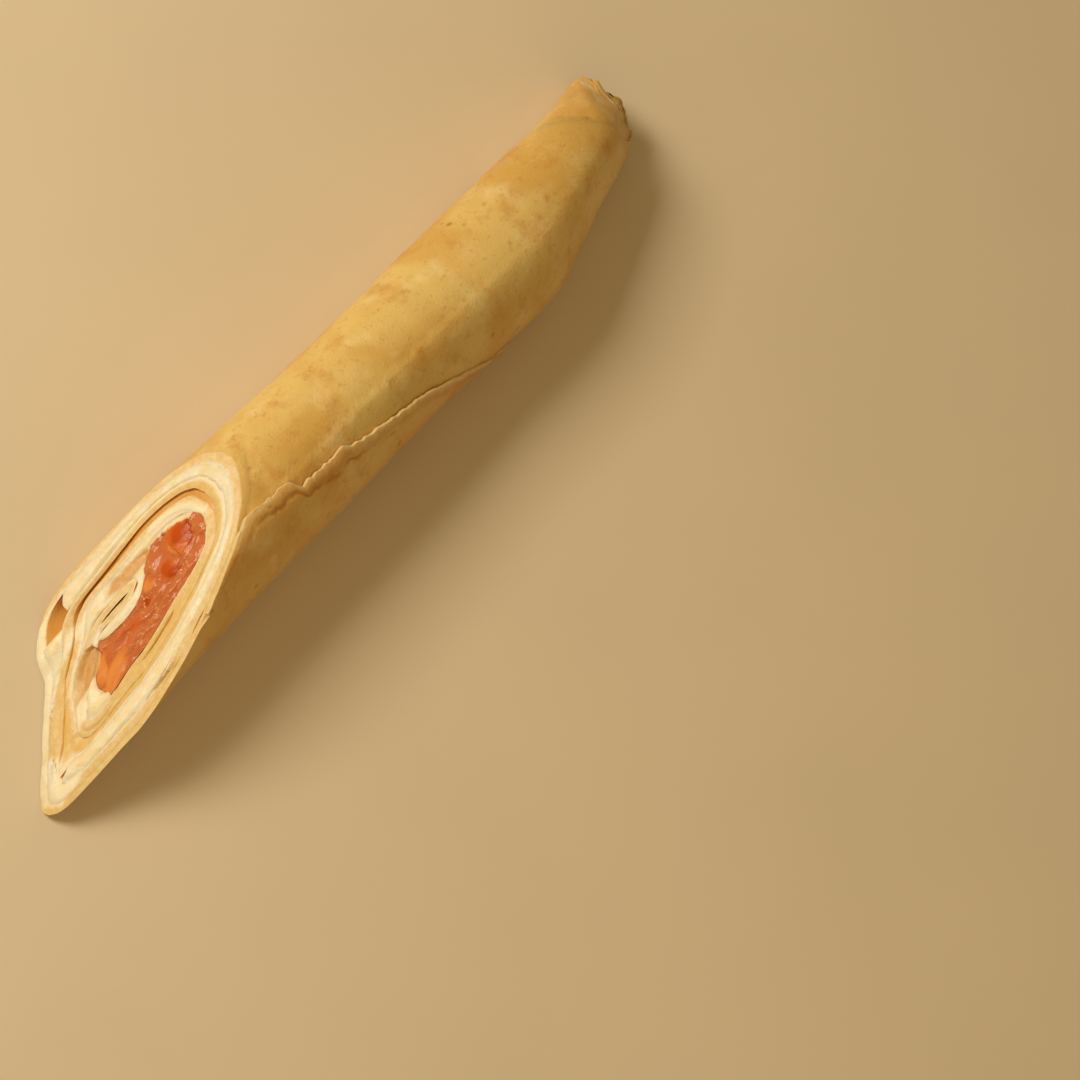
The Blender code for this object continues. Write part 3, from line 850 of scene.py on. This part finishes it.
def crepeFaces(x, run, edge, faint, furrow):
    # both faces in the section, and for each point how far it swells out, its share of the full thickness
    # and its depth behind the cut
    share = smoothStep((edge + crepe["edgeFrom"]) / (crepe["edgeTaper"] + crepe["faintTaper"] * faint))
    edgeThin = crepe["edgeThin"] * (1 - crepe["faintThin"] * faint)
    thin = between(edgeThin, 1, share)
    inner = sectionAt(run, "inner")
    outer = between(inner, sectionAt(run, "outer"), thin[..., None])
    normal = sectionAt(run, "normal")
    where = np.stack([x, run], -1)
    depth = x - cutAt(outer)
    knife = rising(depth, 0, crepe["knifeReach"])

    # each turn swells out to the next where nothing lies between them
    room = np.interp(run, section["run"], roomOutside(section["run"]))
    gapFrom = fromTable(crepe["gapFrom"], angleAt(run) - 360)
    swell = room * smoothStep((depth - gapFrom) / crepe["gapCloses"])

    relief = blisterRelief(x, run) + layeredNoise(where, crepe["relief"])
    relief = relief + layeredNoise(where * np.array(crepe["wrinkleShape"]), crepe["wrinkles"])
    relief = relief - crepe["furrowDepth"] * furrow
    fromFlap = run - outerRimBack(x)
    lift = crepe["lift"] * nearness(fromFlap, crepe["liftReach"]) * patchy(where, *crepe["liftPatches"])
    lift = lift * (1 - faint) * between(crepe["liftAtCut"], 1, rising(x, *crepe["liftOver"]))
    lower = np.maximum(between(crepe["lowerAtCut"], 1, knife), nearness(fromFlap, crepe["lowerFlap"]))
    lower = crepe["lower"] * lower * rising(angleAt(run), *crepe["lowerOver"])
    outer = outer + normal * (swell + (relief * share + lift) * knife - lower)[..., None]
    under = layeredNoise(where, crepe["underRelief"])
    inner = inner + normal * ((under + lift) * knife - lower)[..., None]
    return outer, inner, swell, thin, depth


tones = {  # how the crepe's faces are coloured, by place
    # pale: the thin flap's edge in the crumb's colour, with painted light where the edge catches the lamp
    "pale": 0.9, "paleOver": (1.04, 0.24), "palePatches": (2.0, 45, 0.25),
    # painted shadow: a brown line just under the flap's lifted edge
    "rimShadow": 0.5, "rimShadowAt": 1.8, "rimShadowReach": 1.2, "rimShadowPatches": (3.0, 46, 0.4),
    # painted shade in the furrow beside the flap's edge
    "furrowShade": 0.9, "furrowPatches": (1.6, 49), "furrowPatchy": 0.8,
    # browner round the flap's side: partly the crepe's own browner side, partly painted shade
    "flapBrownAndShade": 0.2, "flapBrownAndShadeReach": 50.0,
    "farBrown": 0.3, "farBrownOver": (96.0, 112.0),
    # painted shade on the right and lower side of the roll
    "sideShade": 0.3, "sideFrom": (45.0, 85.0), "sideUntil": (230.0, 170.0),
    # painted shade in the gaps between the turns, near the cut
    "gapShade": 0.5, "gapShadeOver": (350.0, 370.0), "gapShadeReach": 12.0,
    # pale patches near the far end: the thin film's own pale, with painted glints of its wet sheen
    "wetSheen": 0.5, "wetSheenOver": (103.0, 111.0), "wetSheenPatches": (2.2, 50), "wetSheenPatchy": 1.6,
}


def crepeTones(x, run, edge, faint, furrow, depth):
    # how pale (partly painted light on the flap's lit edge), how brown (partly painted shade), how much
    # painted shade of the gaps, and how pale with painted sheen each point of the outer face is
    t = tones
    where = np.stack([x, run], -1)
    # paler at the flap's edge: its crumb colour, with painted light on the lit edge
    pale = t["pale"] * rising(edge, *t["paleOver"]) * patchy(where, *t["palePatches"]) * (1 - faint)
    # painted shadow in a line just under the flap's lifted edge
    brownAndShade = t["rimShadow"] * nearness(np.abs(edge - t["rimShadowAt"]), t["rimShadowReach"])
    brownAndShade = brownAndShade * patchy(where, *t["rimShadowPatches"]) * (1 - faint)
    # painted shade in the furrow beside the flap's edge, in patches
    patches = smoothStep(0.5 + t["furrowPatchy"] * softNoise(where, *t["furrowPatches"]))
    brownAndShade = np.maximum(brownAndShade, t["furrowShade"] * furrow * patches)
    # browner round the flap's side: partly the crepe's own browner side, partly painted shade
    brownAndShade = brownAndShade + t["flapBrownAndShade"] * nearness(run, t["flapBrownAndShadeReach"])
    brownAndShade = brownAndShade + t["farBrown"] * rising(x, *t["farBrownOver"])
    # painted shade on the right and lower side of the roll
    turned = angleAt(run) % 360
    brownAndShade = brownAndShade + t["sideShade"] * rising(turned, *t["sideFrom"]) * rising(turned, *t["sideUntil"])
    # painted shade in the gaps between the turns, near the cut
    gapShade = t["gapShade"] * rising(angleAt(run), *t["gapShadeOver"]) * nearness(depth, t["gapShadeReach"])
    # pale patches near the far end: the thin film's own pale, with painted glints of its wet sheen
    patches = smoothStep(t["wetSheenPatchy"] * softNoise(where, *t["wetSheenPatches"]))
    wetSheen = t["wetSheen"] * rising(x, *t["wetSheenOver"]) * patches
    return pale, brownAndShade, gapShade, wetSheen


def crepeOnCut(swell, thickness, angle):
    # what shapes and colours the crepe's cut edge, each by row, share of the way across and spot
    def across(row, share):
        # how deep into the crepe's own thickness, which is less than 0 in the bed outside it
        return share * (swell[row] + thickness[row]) - swell[row]

    def relief(row, share, spot):
        into = across(row, share)
        own = np.clip(into / thickness[row], 0, 1)
        bed = np.clip(-into / np.maximum(swell[row], 0.05), 0, 1)
        domes = fromTable(crepe["dome"], angle[row]) * dome(own)
        domes = domes + crepe["bedDome"] * dome(bed) * np.minimum(swell[row], 1)
        crease = fromTable(crepe["crease"], angle[row] - 360) * (swell[row] > crepe["bedLeast"])
        return domes - crease * nearness(np.abs(into), crepe["creaseWidth"])

    def film(row, share, spot):
        into = across(row, share)
        outside = fromTable(crepe["creamNear"], angle[row] - 360) * (angle[row] > roll["secondTurn"])
        inside = fromTable(crepe["creamNear"], angle[row])
        amount = outside * nearness(into, crepe["filmReach"])
        amount = np.maximum(amount, inside * nearness(thickness[row] - into, crepe["filmReach"]))
        for line, strength in crepe["smears"].values():
            amount = np.maximum(amount, strength * nearness(awayFromLine(spot, line), crepe["smearReach"]))
        hollow = rising(hollowDepth(spot, ["underTheSalmon", "bottomTurn"]), 0, crepe["hollowDepth"])
        return amount * (1 - crepe["hollowClears"] * hollow)

    # gold partly the crepe's own, partly painted shade between the white ridges
    def honey(row, share, spot):
        own = fromTable(crepe["honeyEdge"], angle[row])
        bed = fromTable(crepe["honeyBetween"], angle[row] - 360)
        inBed = rising(-across(row, share), 0, crepe["honeyReach"]) * (swell[row] > crepe["bedLeast"])
        return between(own, bed, inBed)

    # painted shade on the cut in the hollow under the salmon
    def hollowShadeAmount(row, share, spot):
        return crepe["hollowShade"] * rising(hollowDepth(spot, ["underTheSalmon"]), 0, crepe["hollowShadeDepth"])

    def pale(row, share, spot):
        return crepe["cutPale"] - hollowShadeAmount(row, share, spot)

    return {"relief": relief, "film": film, "honey": honey, "brownAndShade": hollowShadeAmount, "pale": pale,
            "inside": lambda row, share, spot: 0 * share}


def rimShares(swell, thickness):
    # rings across the cut edge, closer together where the crepe's own thickness begins
    levels = crepe["rim"]["levels"]
    even = (np.arange(levels) + 1) / (levels + 1)
    bed = swell * np.array(crepe["bedRings"])[:, None]
    own = swell + thickness * np.array(crepe["ownRings"])[:, None]
    rings = np.concatenate([bed, own]) / (swell + thickness)
    return np.where(swell > crepe["bedLeast"], rings, even[:, None])


def makeCrepe(finish):
    spots, columns, x, run, bow = crepeGrid()
    edge = np.minimum(run - outerRimBack(x), crepe["farEnd"] - x)
    edge = np.minimum(edge, section["length"] - innerRimBack(x) - run)
    faint = rising(x, *crepe["faintOver"])
    furrow = flapFurrow(x, run)
    outer, inner, swell, thin, depth = crepeFaces(x, run, edge, faint, furrow)
    middle = cutAt(sectionAt(run, "middle"))
    faces = []
    for points in (outer, inner):
        start = cutFace(points[:, 0]) - middle[:, 0]
        faces.append(place(x + start[:, None] * nearness(x - middle, crepe["cutFade"]) + bow, points))
    thickness = roll["thickness"] * thin[:, 0]
    onCut = crepeOnCut(swell[:, 0], thickness, angleAt(run[:, 0]))
    pale, brownAndShade, gapShade, wetSheen = crepeTones(x, run, edge, faint, furrow, depth)
    amounts = {  # on the outer face, on the inner face, on the cut and on the other edges
        "pale": (pale, 0.0, onCut["pale"], 0.7), "brownAndShade": (brownAndShade, 0.0, onCut["brownAndShade"], 0.2),
        # inside is painted shade: near the cut on the outer face, and all over the inner face
        "inside": (gapShade, 0.6, onCut["inside"], 0.0), "film": (wetSheen, 0.0, onCut["film"], 0.0),
        "honey": (0.0, 0.0, onCut["honey"], 0.1),
    }
    rim = dict(crepe["rim"], relief=onCut["relief"], shares=rimShares(swell[:, 0], thickness))
    thinned = [k for k in range(len(columns)) if k < crepe["thinKeeps"] or columns[k] > crepe["thinUntil"]
               or k % crepe["thinSkips"] == 0]
    thinRows = int(np.searchsorted(spots, crepe["thinFrom"]))
    cutSpots = outer[:, 0], inner[:, 0]
    piece = buildSheet("crepeSheet", *faces, cutSpots, rim, amounts, finish, thinRows, thinned)
    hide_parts("crepe")
    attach(piece, "root")


# The fillings run from the cut towards the far end. Each has a line of points along its outside and one
# along its inside, or lies on the inner face of the crepe between two angles of the spiral

filling = {
    "columns": 44, "firstStep": 0.12,  # the first columns are closer together, by this share
    "lineStep": 0.05,
}


def makeFilling(name, node, slot, outer, inner, farEnds, rim, amounts, finish, proud=(0, 0)):
    # proud is how far the first points stand out of the cut on each side
    share = np.linspace(0, 1, filling["columns"])
    share = share * between(filling["firstStep"], 1, share)
    grids = []
    for points, rise in zip((outer, inner), proud):
        start = cutFace(points) - rise
        x = between(start[:, None], farEnds[:, None], share)
        grids.append(place(x, np.repeat(points[:, None], len(share), 1)))
    piece = buildSheet(name, *grids, (outer, inner), rim, amounts, finish)
    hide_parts(node)
    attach(piece, "root")


def evenRows(points, count):
    fine = through(points, filling["lineStep"])
    return fine[np.linspace(0, len(fine) - 1, count).round().astype(int)]


cheese = {
    "press": 0.12,  # how far it sinks into the crepe on both sides
    "short": 13.0,  # how far it ends before the crepe's rim
    "spreads": {
        "creamSpread": {"node": "cream_outer", "from": 224, "to": 488},
        "creamFoot": {"node": "cream_outer", "from": 170, "to": 202},
    },
    "spreadStep": 0.4, "spreadEnd": (4.0, 51),
    "blocks": {
        "creamCore": {
            "node": "cream_inner", "end": 96.0,
            "onCrepe": (1030, 905),
            "inside": [(-5.2, 6.75), (-5.6, 6.2), (-6.3, 5.1), (-6.75, 3.9), (-6.95, 2.6), (-6.85, 1.2),
                       (-5.9, 0.2), (-5.2, -0.7), (-5.2, -2.4), (-5.25, -4.4), (-5.15, -5.7), (-4.7, -6.7),
                       (-4.0, -7.35), (-3.1, -7.95)],
        },
        "creamLeg": {
            "node": "cream_inner", "end": 80.0,
            "outside": [(-5.2, 0.15), (-3.8, 0.3), (-2.6, 0.1), (-1.7, -0.3), (-1.1, -1.2), (-1.0, -2.4),
                        (-1.1, -3.6), (-1.3, -4.8), (-1.8, -5.7)],
            "inside": [(-5.3, -2.2), (-4.95, -1.6), (-4.6, -1.1), (-4.15, -0.78), (-3.7, -0.7),
                       (-3.25, -1.0), (-2.95, -1.6), (-2.9, -2.6), (-2.9, -3.6), (-2.85, -4.4),
                       (-2.75, -5.2), (-2.65, -6.1)],
        },
        "creamUnder": {
            "node": "cream_inner", "end": 80.0,
            "outside": [(-4.1, -6.1), (-3.2, -6.8), (-1.8, -7.25), (-0.4, -7.5), (1.0, -7.5), (2.0, -7.4)],
            "inside": [(-3.7, -5.7), (-2.6, -5.8), (-1.8, -6.0), (-0.6, -6.4), (0.6, -6.3), (1.4, -6.0)],
        },
        "creamCorner": {
            "node": "cream_corner", "end": 88.0,
            "outside": [(6.2, -3.4), (6.75, -5.0), (6.75, -6.1), (6.2, -6.9), (4.6, -7.1), (3.0, -7.2),
                        (1.2, -7.5)],
            "inside": [(5.2, -3.8), (5.2, -4.4), (4.8, -5.0), (4.1, -5.5), (3.2, -5.9), (2.3, -6.2),
                       (1.3, -6.5)],
        },
    },
    "blockStep": 0.3, "blockEnd": (9.0, 52), "endUneven": 1.5,
    # painted shade: tan in the hollows beside the fold and under the salmon, and along each band's edges
    "shadeHollows": ["besideTheFold", "underTheSalmon"], "shadeOver": (0.3, 1.8), "tan": 0.85,
    "edgeShade": 0.45, "edgeShadeWidth": 0.12,
    "ridges": [(0.3, 1.0, 81), (0.14, 0.45, 82)], "ridgeLength": 15.0,  # in rows
    "ridgesAcross": 2.5, "ridgeFeet": 6.0,
    "rim": {"levels": 10, "cutBulge": 0.65, "edgeBulge": 0.2, "grain": 0.16, "grainSize": 1.5, "sharp": 80},
}


# painted shade in two hollows, and along each band's edges where it meets the crepe
def creamShadeAmount(row, share, spot):
    tint = cheese["tan"] * rising(hollowDepth(spot, cheese["shadeHollows"]), *cheese["shadeOver"])
    sides = cheese["edgeShade"] * nearness(np.minimum(share, 1 - share), cheese["edgeShadeWidth"])
    return np.maximum(tint, sides)


def creamRidges(row, share, spot):
    # low ridges that run along each band of soft cheese
    lumps = np.stack([row / cheese["ridgeLength"], share * cheese["ridgesAcross"]], -1)
    feet = smoothStep(np.minimum(share, 1 - share) * cheese["ridgeFeet"])
    return layeredNoise(lumps, cheese["ridges"]) * feet


def spreadSides(spread):
    # from one turn of the crepe to the turn inside it
    start, end = runAtAngle(spread["from"]), runAtAngle(spread["to"])
    run = np.linspace(start, end, round((end - start) / cheese["spreadStep"]))
    normal = sectionAt(run, "normal")
    face = sectionAt(run, "inner")
    onward = section["angle"][None] - angleAt(run)[:, None]
    away = np.linalg.norm(section["outer"][None] - face[:, None], axis=-1)
    least, most = roll["oneTurn"]
    room = np.where((onward > least) & (onward < most), away, np.inf).min(1)
    outer = face + normal * cheese["press"]
    inner = face - normal * (room + cheese["press"])[:, None]
    far = rimReach(run) - cheese["short"] + cheese["endUneven"] * lineNoise(run, *cheese["spreadEnd"])
    return outer, inner, far


def blockSides(block):
    step = cheese["blockStep"]
    if "onCrepe" in block:
        start, end = (runAtAngle(angle) for angle in block["onCrepe"])
        run = np.linspace(start, end, round(abs(end - start) / step))
        outer = sectionAt(run, "inner") + sectionAt(run, "normal") * cheese["press"]
    else:
        outer = evenRows(block["outside"], round(runAlong(np.array(block["outside"]))[-1] / step))
    inner = evenRows(block["inside"], len(outer))
    far = block["end"] + cheese["endUneven"] * lineNoise(np.arange(len(outer)), *cheese["blockEnd"])
    return outer, inner, far


def makeCheese(finish):
    amounts = {"tint": (0.0, 0.0, creamShadeAmount, 0.0)}
    rim = dict(cheese["rim"], relief=creamRidges)
    for kind, sidesOf in (("spreads", spreadSides), ("blocks", blockSides)):
        for name, piece in cheese[kind].items():
            makeFilling(name, piece["node"], "cream", *sidesOf(piece), rim, amounts, finish)


salmon = {
    "end": 94.0, "endRound": 9.0, "endWaves": (2.0, 7.0), "rowStep": 0.2, "endRows": 4,
    # how far the slices sink into what lies beside them, on the outermost side and elsewhere
    "press": (0.1, 0.08),
    "slices": {
        "salmonOuter": {
            "node": "salmon_outer_slice",
            "outside": [(-7.0, 2.6), (-6.75, 4.0), (-6.1, 5.4), (-5.0, 6.8), (-3.4, 7.85), (-1.6, 8.4),
                        (0.2, 8.4), (1.5, 7.9), (2.4, 6.6), (3.3, 4.6), (4.2, 2.6), (4.9, 0.8),
                        (5.15, -1.0), (5.5, -2.4), (6.0, -3.8)],
            "inside": [(-6.5, 2.3), (-5.6, 2.9), (-4.6, 3.5), (-3.6, 4.2), (-2.6, 4.8), (-1.4, 5.2),
                       (-0.4, 5.1), (0.4, 4.4), (1.0, 3.4), (1.7, 2.1), (2.4, 0.6), (2.9, -0.8),
                       (3.5, -2.0), (4.2, -3.0), (5.2, -4.0)],
        },
        "salmonInner": {
            "node": "salmon_inner_slice",
            "outside": [(-7.0, 2.5), (-5.6, 3.0), (-4.4, 3.7), (-3.2, 4.55), (-1.6, 5.25), (-0.4, 5.2),
                        (0.5, 4.5), (1.1, 3.4), (1.8, 2.1), (2.5, 0.6), (3.0, -0.8), (3.6, -2.1),
                        (4.6, -3.3), (5.9, -4.1)],
            "inside": [(-6.8, 0.6), (-5.6, 0.0), (-4.4, 0.15), (-3.0, 0.25), (-1.8, -0.1), (-1.15, -1.0),
                       (-1.0, -2.3), (-1.1, -3.6), (-1.35, -4.8), (-1.7, -6.2), (0.0, -6.45),
                       (2.0, -5.95), (3.6, -5.5), (5.2, -4.6)],
        },
    },
    # rounded folds and flakes: across, up, half length, half width, tilt, rise
    "flakes": [
        (-4.6, 4.5, 2.9, 1.45, 32, 0.9), (-3.2, 7.4, 3.2, 1.05, 25, 0.85), (-2.7, 4.6, 2.9, 0.7, 36, 0.7),
        (-1.2, 3.7, 2.3, 0.9, 31, 0.9), (-4.3, 1.1, 2.4, 1.0, 28, 0.85), (-1.9, 1.1, 1.9, 0.8, 30, 0.8),
        (0.9, 6.9, 1.9, 1.1, -65, 0.75), (1.7, 4.2, 2.0, 1.0, -68, 0.65), (0.4, 2.2, 1.3, 0.8, -50, 0.4),
        (2.9, 1.7, 2.3, 1.0, -65, 0.65), (1.0, 0.0, 1.7, 0.9, 62, 0.55), (0.3, -2.2, 2.0, 0.95, 72, 0.6),
        (2.9, -1.0, 2.1, 1.1, -72, 0.55), (1.2, -4.2, 1.8, 1.2, 70, 0.5), (3.9, -3.1, 2.6, 1.9, -25, 0.5),
        (2.0, -5.2, 2.0, 0.9, 8, 0.35), (5.4, -3.5, 1.4, 1.0, -20, 0.35), (-0.8, -5.5, 1.1, 0.7, 30, 0.35)],
    "flakeSlope": 1.4, "creaseDepth": -0.35, "blend": 8.0, "proud": 0.8,
    "grain": [(0.16, 1.0, 71), (0.2, 0.5, 72)], "grainLeast": 0.2, "sideFeet": 10.0, "standsOut": 0.08,
    # colours by place: across, up, half length, half width, tilt, strength, which fades over these reaches
    "ovalFade": (1.16, 0.36),
    # deep: the flesh's deeper red, and painted shade on the flakes' shaded sides
    "deepAndShadedPlaces": [
        (-3.4, 6.0, 3.0, 0.5, 8, 1.0), (-4.3, 5.0, 2.4, 1.1, 30, 0.7), (-0.3, 4.4, 1.4, 0.7, 40, 1.0),
        (-1.5, 3.5, 1.7, 0.8, 31, 0.6), (-0.1, 0.7, 1.0, 0.6, 40, 1.0), (0.5, -1.5, 1.4, 0.6, 70, 0.45),
        (2.1, 0.6, 1.0, 0.5, 60, 0.4), (0.2, -3.4, 1.3, 0.5, 75, 0.3)],
    "palePlaces": [
        (4.0, -3.5, 3.0, 2.0, -22, 0.9), (2.0, -5.2, 2.6, 1.0, 8, 0.95), (3.2, 0.8, 2.6, 1.0, -65, 0.4),
        (-1.9, 1.1, 1.8, 0.8, 30, 0.7), (-2.9, 4.3, 2.6, 0.4, 34, 0.6), (-4.3, 1.0, 2.2, 0.9, 28, 0.35),
        (-3.2, 7.5, 2.8, 0.9, 25, 0.35), (1.3, 5.9, 2.2, 0.7, -60, 0.3), (-1.0, -5.3, 1.2, 0.7, 30, 0.6),
        (3.0, -1.7, 1.7, 0.9, 40, 0.45)],
    "smoothPlaces": [
        (-4.6, 4.4, 2.8, 1.4, 32, 1.0), (-2.6, 4.6, 2.6, 0.7, 36, 0.8), (-1.2, 3.7, 2.2, 0.9, 31, 1.0),
        (-1.9, 1.1, 1.8, 0.8, 30, 0.9), (0.9, -0.9, 1.8, 1.0, 62, 0.5), (3.9, -3.3, 2.8, 1.8, -22, 0.85),
        (2.0, -5.0, 2.4, 1.0, 8, 0.8)],
    # painted shade in the creases between the flakes
    "creaseShade": 0.7, "creaseShadeOver": (0.0, -0.9),
    "filmLine": [(-6.0, -0.4, 0.0), (-7.2, 0.6, 0.2), (-7.2, 2.4, 0.25), (-6.6, 4.2, 0.2),
                 (-5.4, 6.3, 0.1)],
    "film": 0.8, "filmReach": 0.7,
    "rim": {"levels": 20, "cutBulge": 0.0, "edgeBulge": 0.3, "grain": 0.14, "grainSize": 0.9, "sharp": 180},
}


def placedAmount(spot, places):
    # full in the middle of each oval, and gone a little way outside it
    amount = np.zeros(spot.shape[:-1])
    for *oval, strength in places:
        amount = np.maximum(amount, strength * rising(ovalReach(spot, *oval), *salmon["ovalFade"]))
    return amount


def flakeHeight(spot):
    # the highest flake at each spot, with a soft change from one to the next
    total = np.full(spot.shape[:-1], math.exp(salmon["creaseDepth"] * salmon["blend"]))
    for *oval, rise in salmon["flakes"]:
        flake = rise - salmon["flakeSlope"] * ovalReach(spot, *oval) ** 2
        total = total + np.exp(flake * salmon["blend"])
    return np.log(total) / salmon["blend"]


def grainAmount(row, share, spot):
    return 1 - placedAmount(spot, salmon["smoothPlaces"])


def salmonRelief(side):
    # side is 0 for the slice whose outside is next to the cheese, and 1 for the one whose inside is
    def relief(row, share, spot):
        grain = layeredNoise(spot, salmon["grain"]) * (salmon["grainLeast"] + grainAmount(row, share, spot))
        border = smoothStep(np.abs(share - side) * salmon["sideFeet"])
        ends = rising(row, 0, salmon["endRows"])
        return (flakeHeight(spot) * salmon["proud"] + grain) * border * ends + salmon["standsOut"]
    return relief


# the flesh's deeper red, with painted shade in the creases and on the flakes' shaded sides
def deepAndShadeAmount(row, share, spot):
    creases = rising(flakeHeight(spot), *salmon["creaseShadeOver"])
    return np.maximum(placedAmount(spot, salmon["deepAndShadedPlaces"]), salmon["creaseShade"] * creases)


def paleAmount(row, share, spot):
    return placedAmount(spot, salmon["palePlaces"])


def filmAmount(row, share, spot):
    return salmon["film"] * nearness(awayFromLine(spot, salmon["filmLine"]), salmon["filmReach"])


def makeSalmon(finish):
    amounts = {"deep": (0.3, 0.3, deepAndShadeAmount, 0.3), "pale": (0.0, 0.0, paleAmount, 0.0),
               "grain": (0.3, 0.3, grainAmount, 0.3), "film": (0.0, 0.0, filmAmount, 0.0)}
    outermost, others = salmon["press"]
    height, waves = salmon["endWaves"]
    for side, (name, piece) in enumerate(salmon["slices"].items()):
        count = round(runAlong(np.array(piece["outside"]))[-1] / salmon["rowStep"])
        outer, inner = evenRows(piece["outside"], count), evenRows(piece["inside"], count)
        inwards = unitRows(inner - outer)
        outer = outer - inwards * (others if side else outermost)
        inner = inner + inwards * others
        # the edge that the slices share stands as far out of the cut as the flakes there
        relief, rows = salmonRelief(side), np.arange(count)
        proud = (relief(rows, 0, outer), 0) if side else (0, relief(rows, 1, inner))
        share = np.linspace(-1, 1, count)
        far = salmon["end"] - salmon["endRound"] * share ** 2 + height * np.sin(waves * share)
        rim = dict(salmon["rim"], relief=relief)
        makeFilling(name, piece["node"], "salmon", outer, inner, far, rim, amounts, finish, proud)


table = {"size": 3.0, "squares": 12, "colour": linear(234, 218, 192), "shade": 0.97, "roughness": 0.6}


def makeTable():
    mesh = bpy.data.meshes.new("table")
    count = table["squares"]
    steps = np.linspace(-table["size"] / 2, table["size"] / 2, count + 1)
    points = [(x, y, 0.0) for y in steps for x in steps]
    faces = []
    for r in range(count):
        for c in range(count):
            corner = r * (count + 1) + c
            faces.append((corner, corner + 1, corner + count + 2, corner + count + 1))
    mesh.from_pydata(points, [], faces)
    f = Finish("paleTable")
    shade = tuple(v * table["shade"] for v in table["colour"])
    tone = f.mix(f.area((60, 3), 0.3, 0.7), table["colour"], shade)
    f.set(Base_Color=tone, Roughness=table["roughness"])
    mesh.materials.append(f.material)
    floor = bpy.data.objects.new("table", mesh)
    bpy.context.scene.collection.objects.link(floor)


studio = {  # distances and sizes in metres
    "key": {"from": (-0.25, 0.7, 0.66), "away": 0.7, "size": 0.26, "power": 3.3,
            "colour": (1.0, 0.88, 0.68)},
    "fill": {"from": (-0.8, -0.45, 0.5), "away": 0.5, "size": 0.4, "power": 0.27,
             "colour": (1.0, 0.82, 0.52)},
    "sky": (1.0, 0.7, 0.3), "skyStrength": 0.27,
}


def makeLights():
    for name in ("key", "fill"):
        lamp = studio[name]
        light = bpy.data.lights.new(name, "AREA")
        light.energy = lamp["power"]
        light.size = lamp["size"]
        light.color = lamp["colour"]
        made = bpy.data.objects.new(name, light)
        direction = Vector(lamp["from"]).normalized()
        made.location = direction * lamp["away"]
        made.rotation_euler = direction.to_track_quat("Z", "Y").to_euler()
        bpy.context.scene.collection.objects.link(made)
    world = bpy.data.worlds.new("studio")
    world.use_nodes = True
    background = world.node_tree.nodes["Background"]
    background.inputs["Color"].default_value = (*studio["sky"], 1)
    background.inputs["Strength"].default_value = studio["skyStrength"]
    bpy.context.scene.world = world


view = {  # angles in degrees, lengths in millimetres
    "azimuth": -95.54, "elevation": 63.65, "roll": 47.1, "fieldOfView": 16.33,
    "target": (7.3, -42.56, 12.0), "distance": 679.3,
}


def makeCamera():
    azimuth, elevation, turned = (math.radians(view[key]) for key in ("azimuth", "elevation", "roll"))
    back = Vector((math.sin(azimuth) * math.cos(elevation), -math.cos(azimuth) * math.cos(elevation),
                   math.sin(elevation)))
    right = Vector((0, 0, 1)).cross(back).normalized()
    up = back.cross(right)
    across = right * math.cos(turned) + up * math.sin(turned)
    upwards = back.cross(across)
    camera = bpy.data.objects.new("camera", bpy.data.cameras.new("camera"))
    camera.data.angle = math.radians(view["fieldOfView"])
    camera.data.clip_start = 0.01
    stand = (Vector(view["target"]) + back * view["distance"]) * mm
    turn = Matrix((across, upwards, back)).transposed().to_4x4()
    camera.matrix_world = Matrix.Translation(stand) @ turn
    bpy.context.scene.collection.objects.link(camera)
    bpy.context.scene.camera = camera
    bpy.context.scene.view_settings.view_transform = "Standard"


makeCrepe(crepeFinish())
print("crepe made")
makeCheese(creamFinish())
print("soft cheese made")
makeSalmon(salmonFinish())
print("salmon made")
makeTable()
makeLights()
makeCamera()
